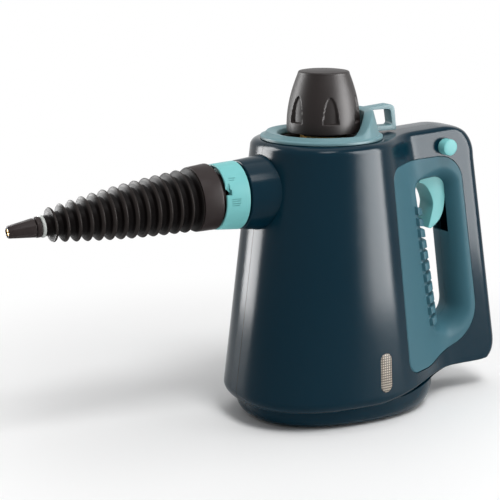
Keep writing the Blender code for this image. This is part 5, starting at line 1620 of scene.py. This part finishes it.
class STEAM_PG_stage(bpy.types.PropertyGroup):
    """Camera, floor and light levels."""

    camera_place: FloatVectorProperty(
        name="Camera", description="Camera's place from the filler's axis", size=3,
        default=(-0.5928, -0.9855, 0.3776), subtype="TRANSLATION", unit="LENGTH")
    camera_aim: FloatVectorProperty(
        name="Direction", description="Direction that the camera looks in", size=3,
        default=(0.464, 0.8585, -0.218), subtype="DIRECTION")
    lens: FloatProperty(name="Lens", description="Focal length in millimetres", default=115.2, min=1.0)
    floor_half: FloatProperty(name="Floor", description="Half the floor's side", default=4.0, min=0.5,
                              unit="LENGTH")
    floor_color: tint("Floor colour", "Colour of the pale floor", (0.93, 0.93, 0.93))
    key: power("Key", "Power of the large lamp in front", 15.5)
    side: power("Side", "Power of the tall lamp at the right", 1.5)
    top: power("Top", "Power of the lamp overhead", 5.5)
    strip: power("Strip", "Power of the panel behind the nozzle, which only gloss shows", 5.5)
    glint: power("Glint", "Power of the panel at the right, which only gloss shows", 13.0)
    surroundings: FloatProperty(name="Surroundings", description="Level of the white surroundings",
                                default=0.33, min=0.0)


class Step:
    """What every build step shares: it can be undone."""

    bl_options = {"REGISTER", "UNDO"}


class STEAM_OT_shells(Step, bpy.types.Operator):
    """Build both body shells"""

    bl_idname = "steam.shells"
    bl_label = "Body Shells"

    def execute(self, context):
        make_shell("shell_left", -1, "left_shell")
        make_shell("shell_right", 1, "right_shell")
        return {"FINISHED"}


class STEAM_OT_grips(Step, bpy.types.Operator):
    """Build both grip panels, rolled into the hand opening"""

    bl_idname = "steam.grips"
    bl_label = "Grip Panels"

    def execute(self, context):
        make_grip("grip_left", -1, "grip_frame_left")
        make_grip("grip_right", 1, "grip_frame_right")
        return {"FINISHED"}


class STEAM_OT_dish(Step, bpy.types.Operator):
    """Build the dish with its hanging loop, and the well in it"""

    bl_idname = "steam.dish"
    bl_label = "Dish and Well"

    def execute(self, context):
        make_dish()
        make_well()
        return {"FINISHED"}


class STEAM_OT_cap(Step, bpy.types.Operator):
    """Build the fluted safety cap"""

    bl_idname = "steam.cap"
    bl_label = "Safety Cap"

    def execute(self, context):
        make_cap()
        return {"FINISHED"}


class STEAM_OT_socket(Step, bpy.types.Operator):
    """Build the nozzle socket and its locking collar"""

    bl_idname = "steam.socket"
    bl_label = "Socket and Collar"

    def execute(self, context):
        make_socket()
        make_collar()
        return {"FINISHED"}


class STEAM_OT_accessory(Step, bpy.types.Operator):
    """Build the nozzle's cup, bellows, washer, nut and tip"""

    bl_idname = "steam.accessory"
    bl_label = "Bellows Nozzle"

    def execute(self, context):
        make_cup()
        make_bellows()
        make_washer_and_nut()
        make_tip()
        return {"FINISHED"}


class STEAM_OT_controls(Step, bpy.types.Operator):
    """Build the trigger, the lock bolt and the window"""

    bl_idname = "steam.controls"
    bl_label = "Trigger, Bolt and Window"

    def execute(self, context):
        make_trigger()
        make_button()
        make_window()
        return {"FINISHED"}


class STEAM_OT_foot(Step, bpy.types.Operator):
    """Build the feet, the lead's gland and the case screws"""

    bl_idname = "steam.foot"
    bl_label = "Feet, Gland and Screws"

    def execute(self, context):
        make_foot()
        make_gland()
        make_screws()
        return {"FINISHED"}


class STEAM_OT_hidden(Step, bpy.types.Operator):
    """Give the solids inside the body their finishes"""

    bl_idname = "steam.hidden"
    bl_label = "Inner Finishes"

    def execute(self, context):
        finish_hidden()
        return {"FINISHED"}


class STEAM_OT_stage(Step, bpy.types.Operator):
    """Set up the floor, lamps, surroundings and camera"""

    bl_idname = "steam.stage"
    bl_label = "Stage"

    def execute(self, context):
        settings = context.scene.steam_stage
        context.scene.view_settings.view_transform = "Standard"
        make_floor(settings)
        make_world(settings.surroundings)
        for name, (place, size, diffuse) in LAMPS.items():
            make_lamp(name, place, size, getattr(settings, name), diffuse)
        make_camera(settings)
        return {"FINISHED"}


STEPS = (STEAM_OT_shells, STEAM_OT_grips, STEAM_OT_dish, STEAM_OT_cap, STEAM_OT_socket,
         STEAM_OT_accessory, STEAM_OT_controls, STEAM_OT_foot, STEAM_OT_hidden, STEAM_OT_stage)


class STEAM_PT_sidebar(bpy.types.Panel):
    """Lists the build steps and the settings"""

    bl_label = "Steam Cleaner"
    bl_space_type = "VIEW_3D"
    bl_region_type = "UI"
    bl_category = "Steam Cleaner"

    def draw(self, context):
        layout = self.layout
        for step in STEPS:
            layout.operator(step.bl_idname)
        for group in (context.scene.steam_colors, context.scene.steam_stage):
            box = layout.box()
            for name in group.__annotations__:
                box.prop(group, name)


CLASSES = (STEAM_PG_colors, STEAM_PG_stage, *STEPS, STEAM_PT_sidebar)


def register():
    """Adds the settings, the build steps and the panel."""
    for kind in CLASSES:
        bpy.utils.register_class(kind)
    bpy.types.Scene.steam_colors = PointerProperty(type=STEAM_PG_colors)
    bpy.types.Scene.steam_stage = PointerProperty(type=STEAM_PG_stage)


def unregister():
    """Takes away what register added."""
    del bpy.types.Scene.steam_stage
    del bpy.types.Scene.steam_colors
    for kind in reversed(CLASSES):
        bpy.utils.unregister_class(kind)


def plain(box):
    """A box as plain lists of numbers."""
    return [[float(number) for number in corner] for corner in box]


def main():
    """Builds every piece and the stage."""
    register()
    for step in STEPS:
        group, name = step.bl_idname.split(".")
        getattr(getattr(bpy.ops, group), name)()


if __name__ == "__main__":
    main()
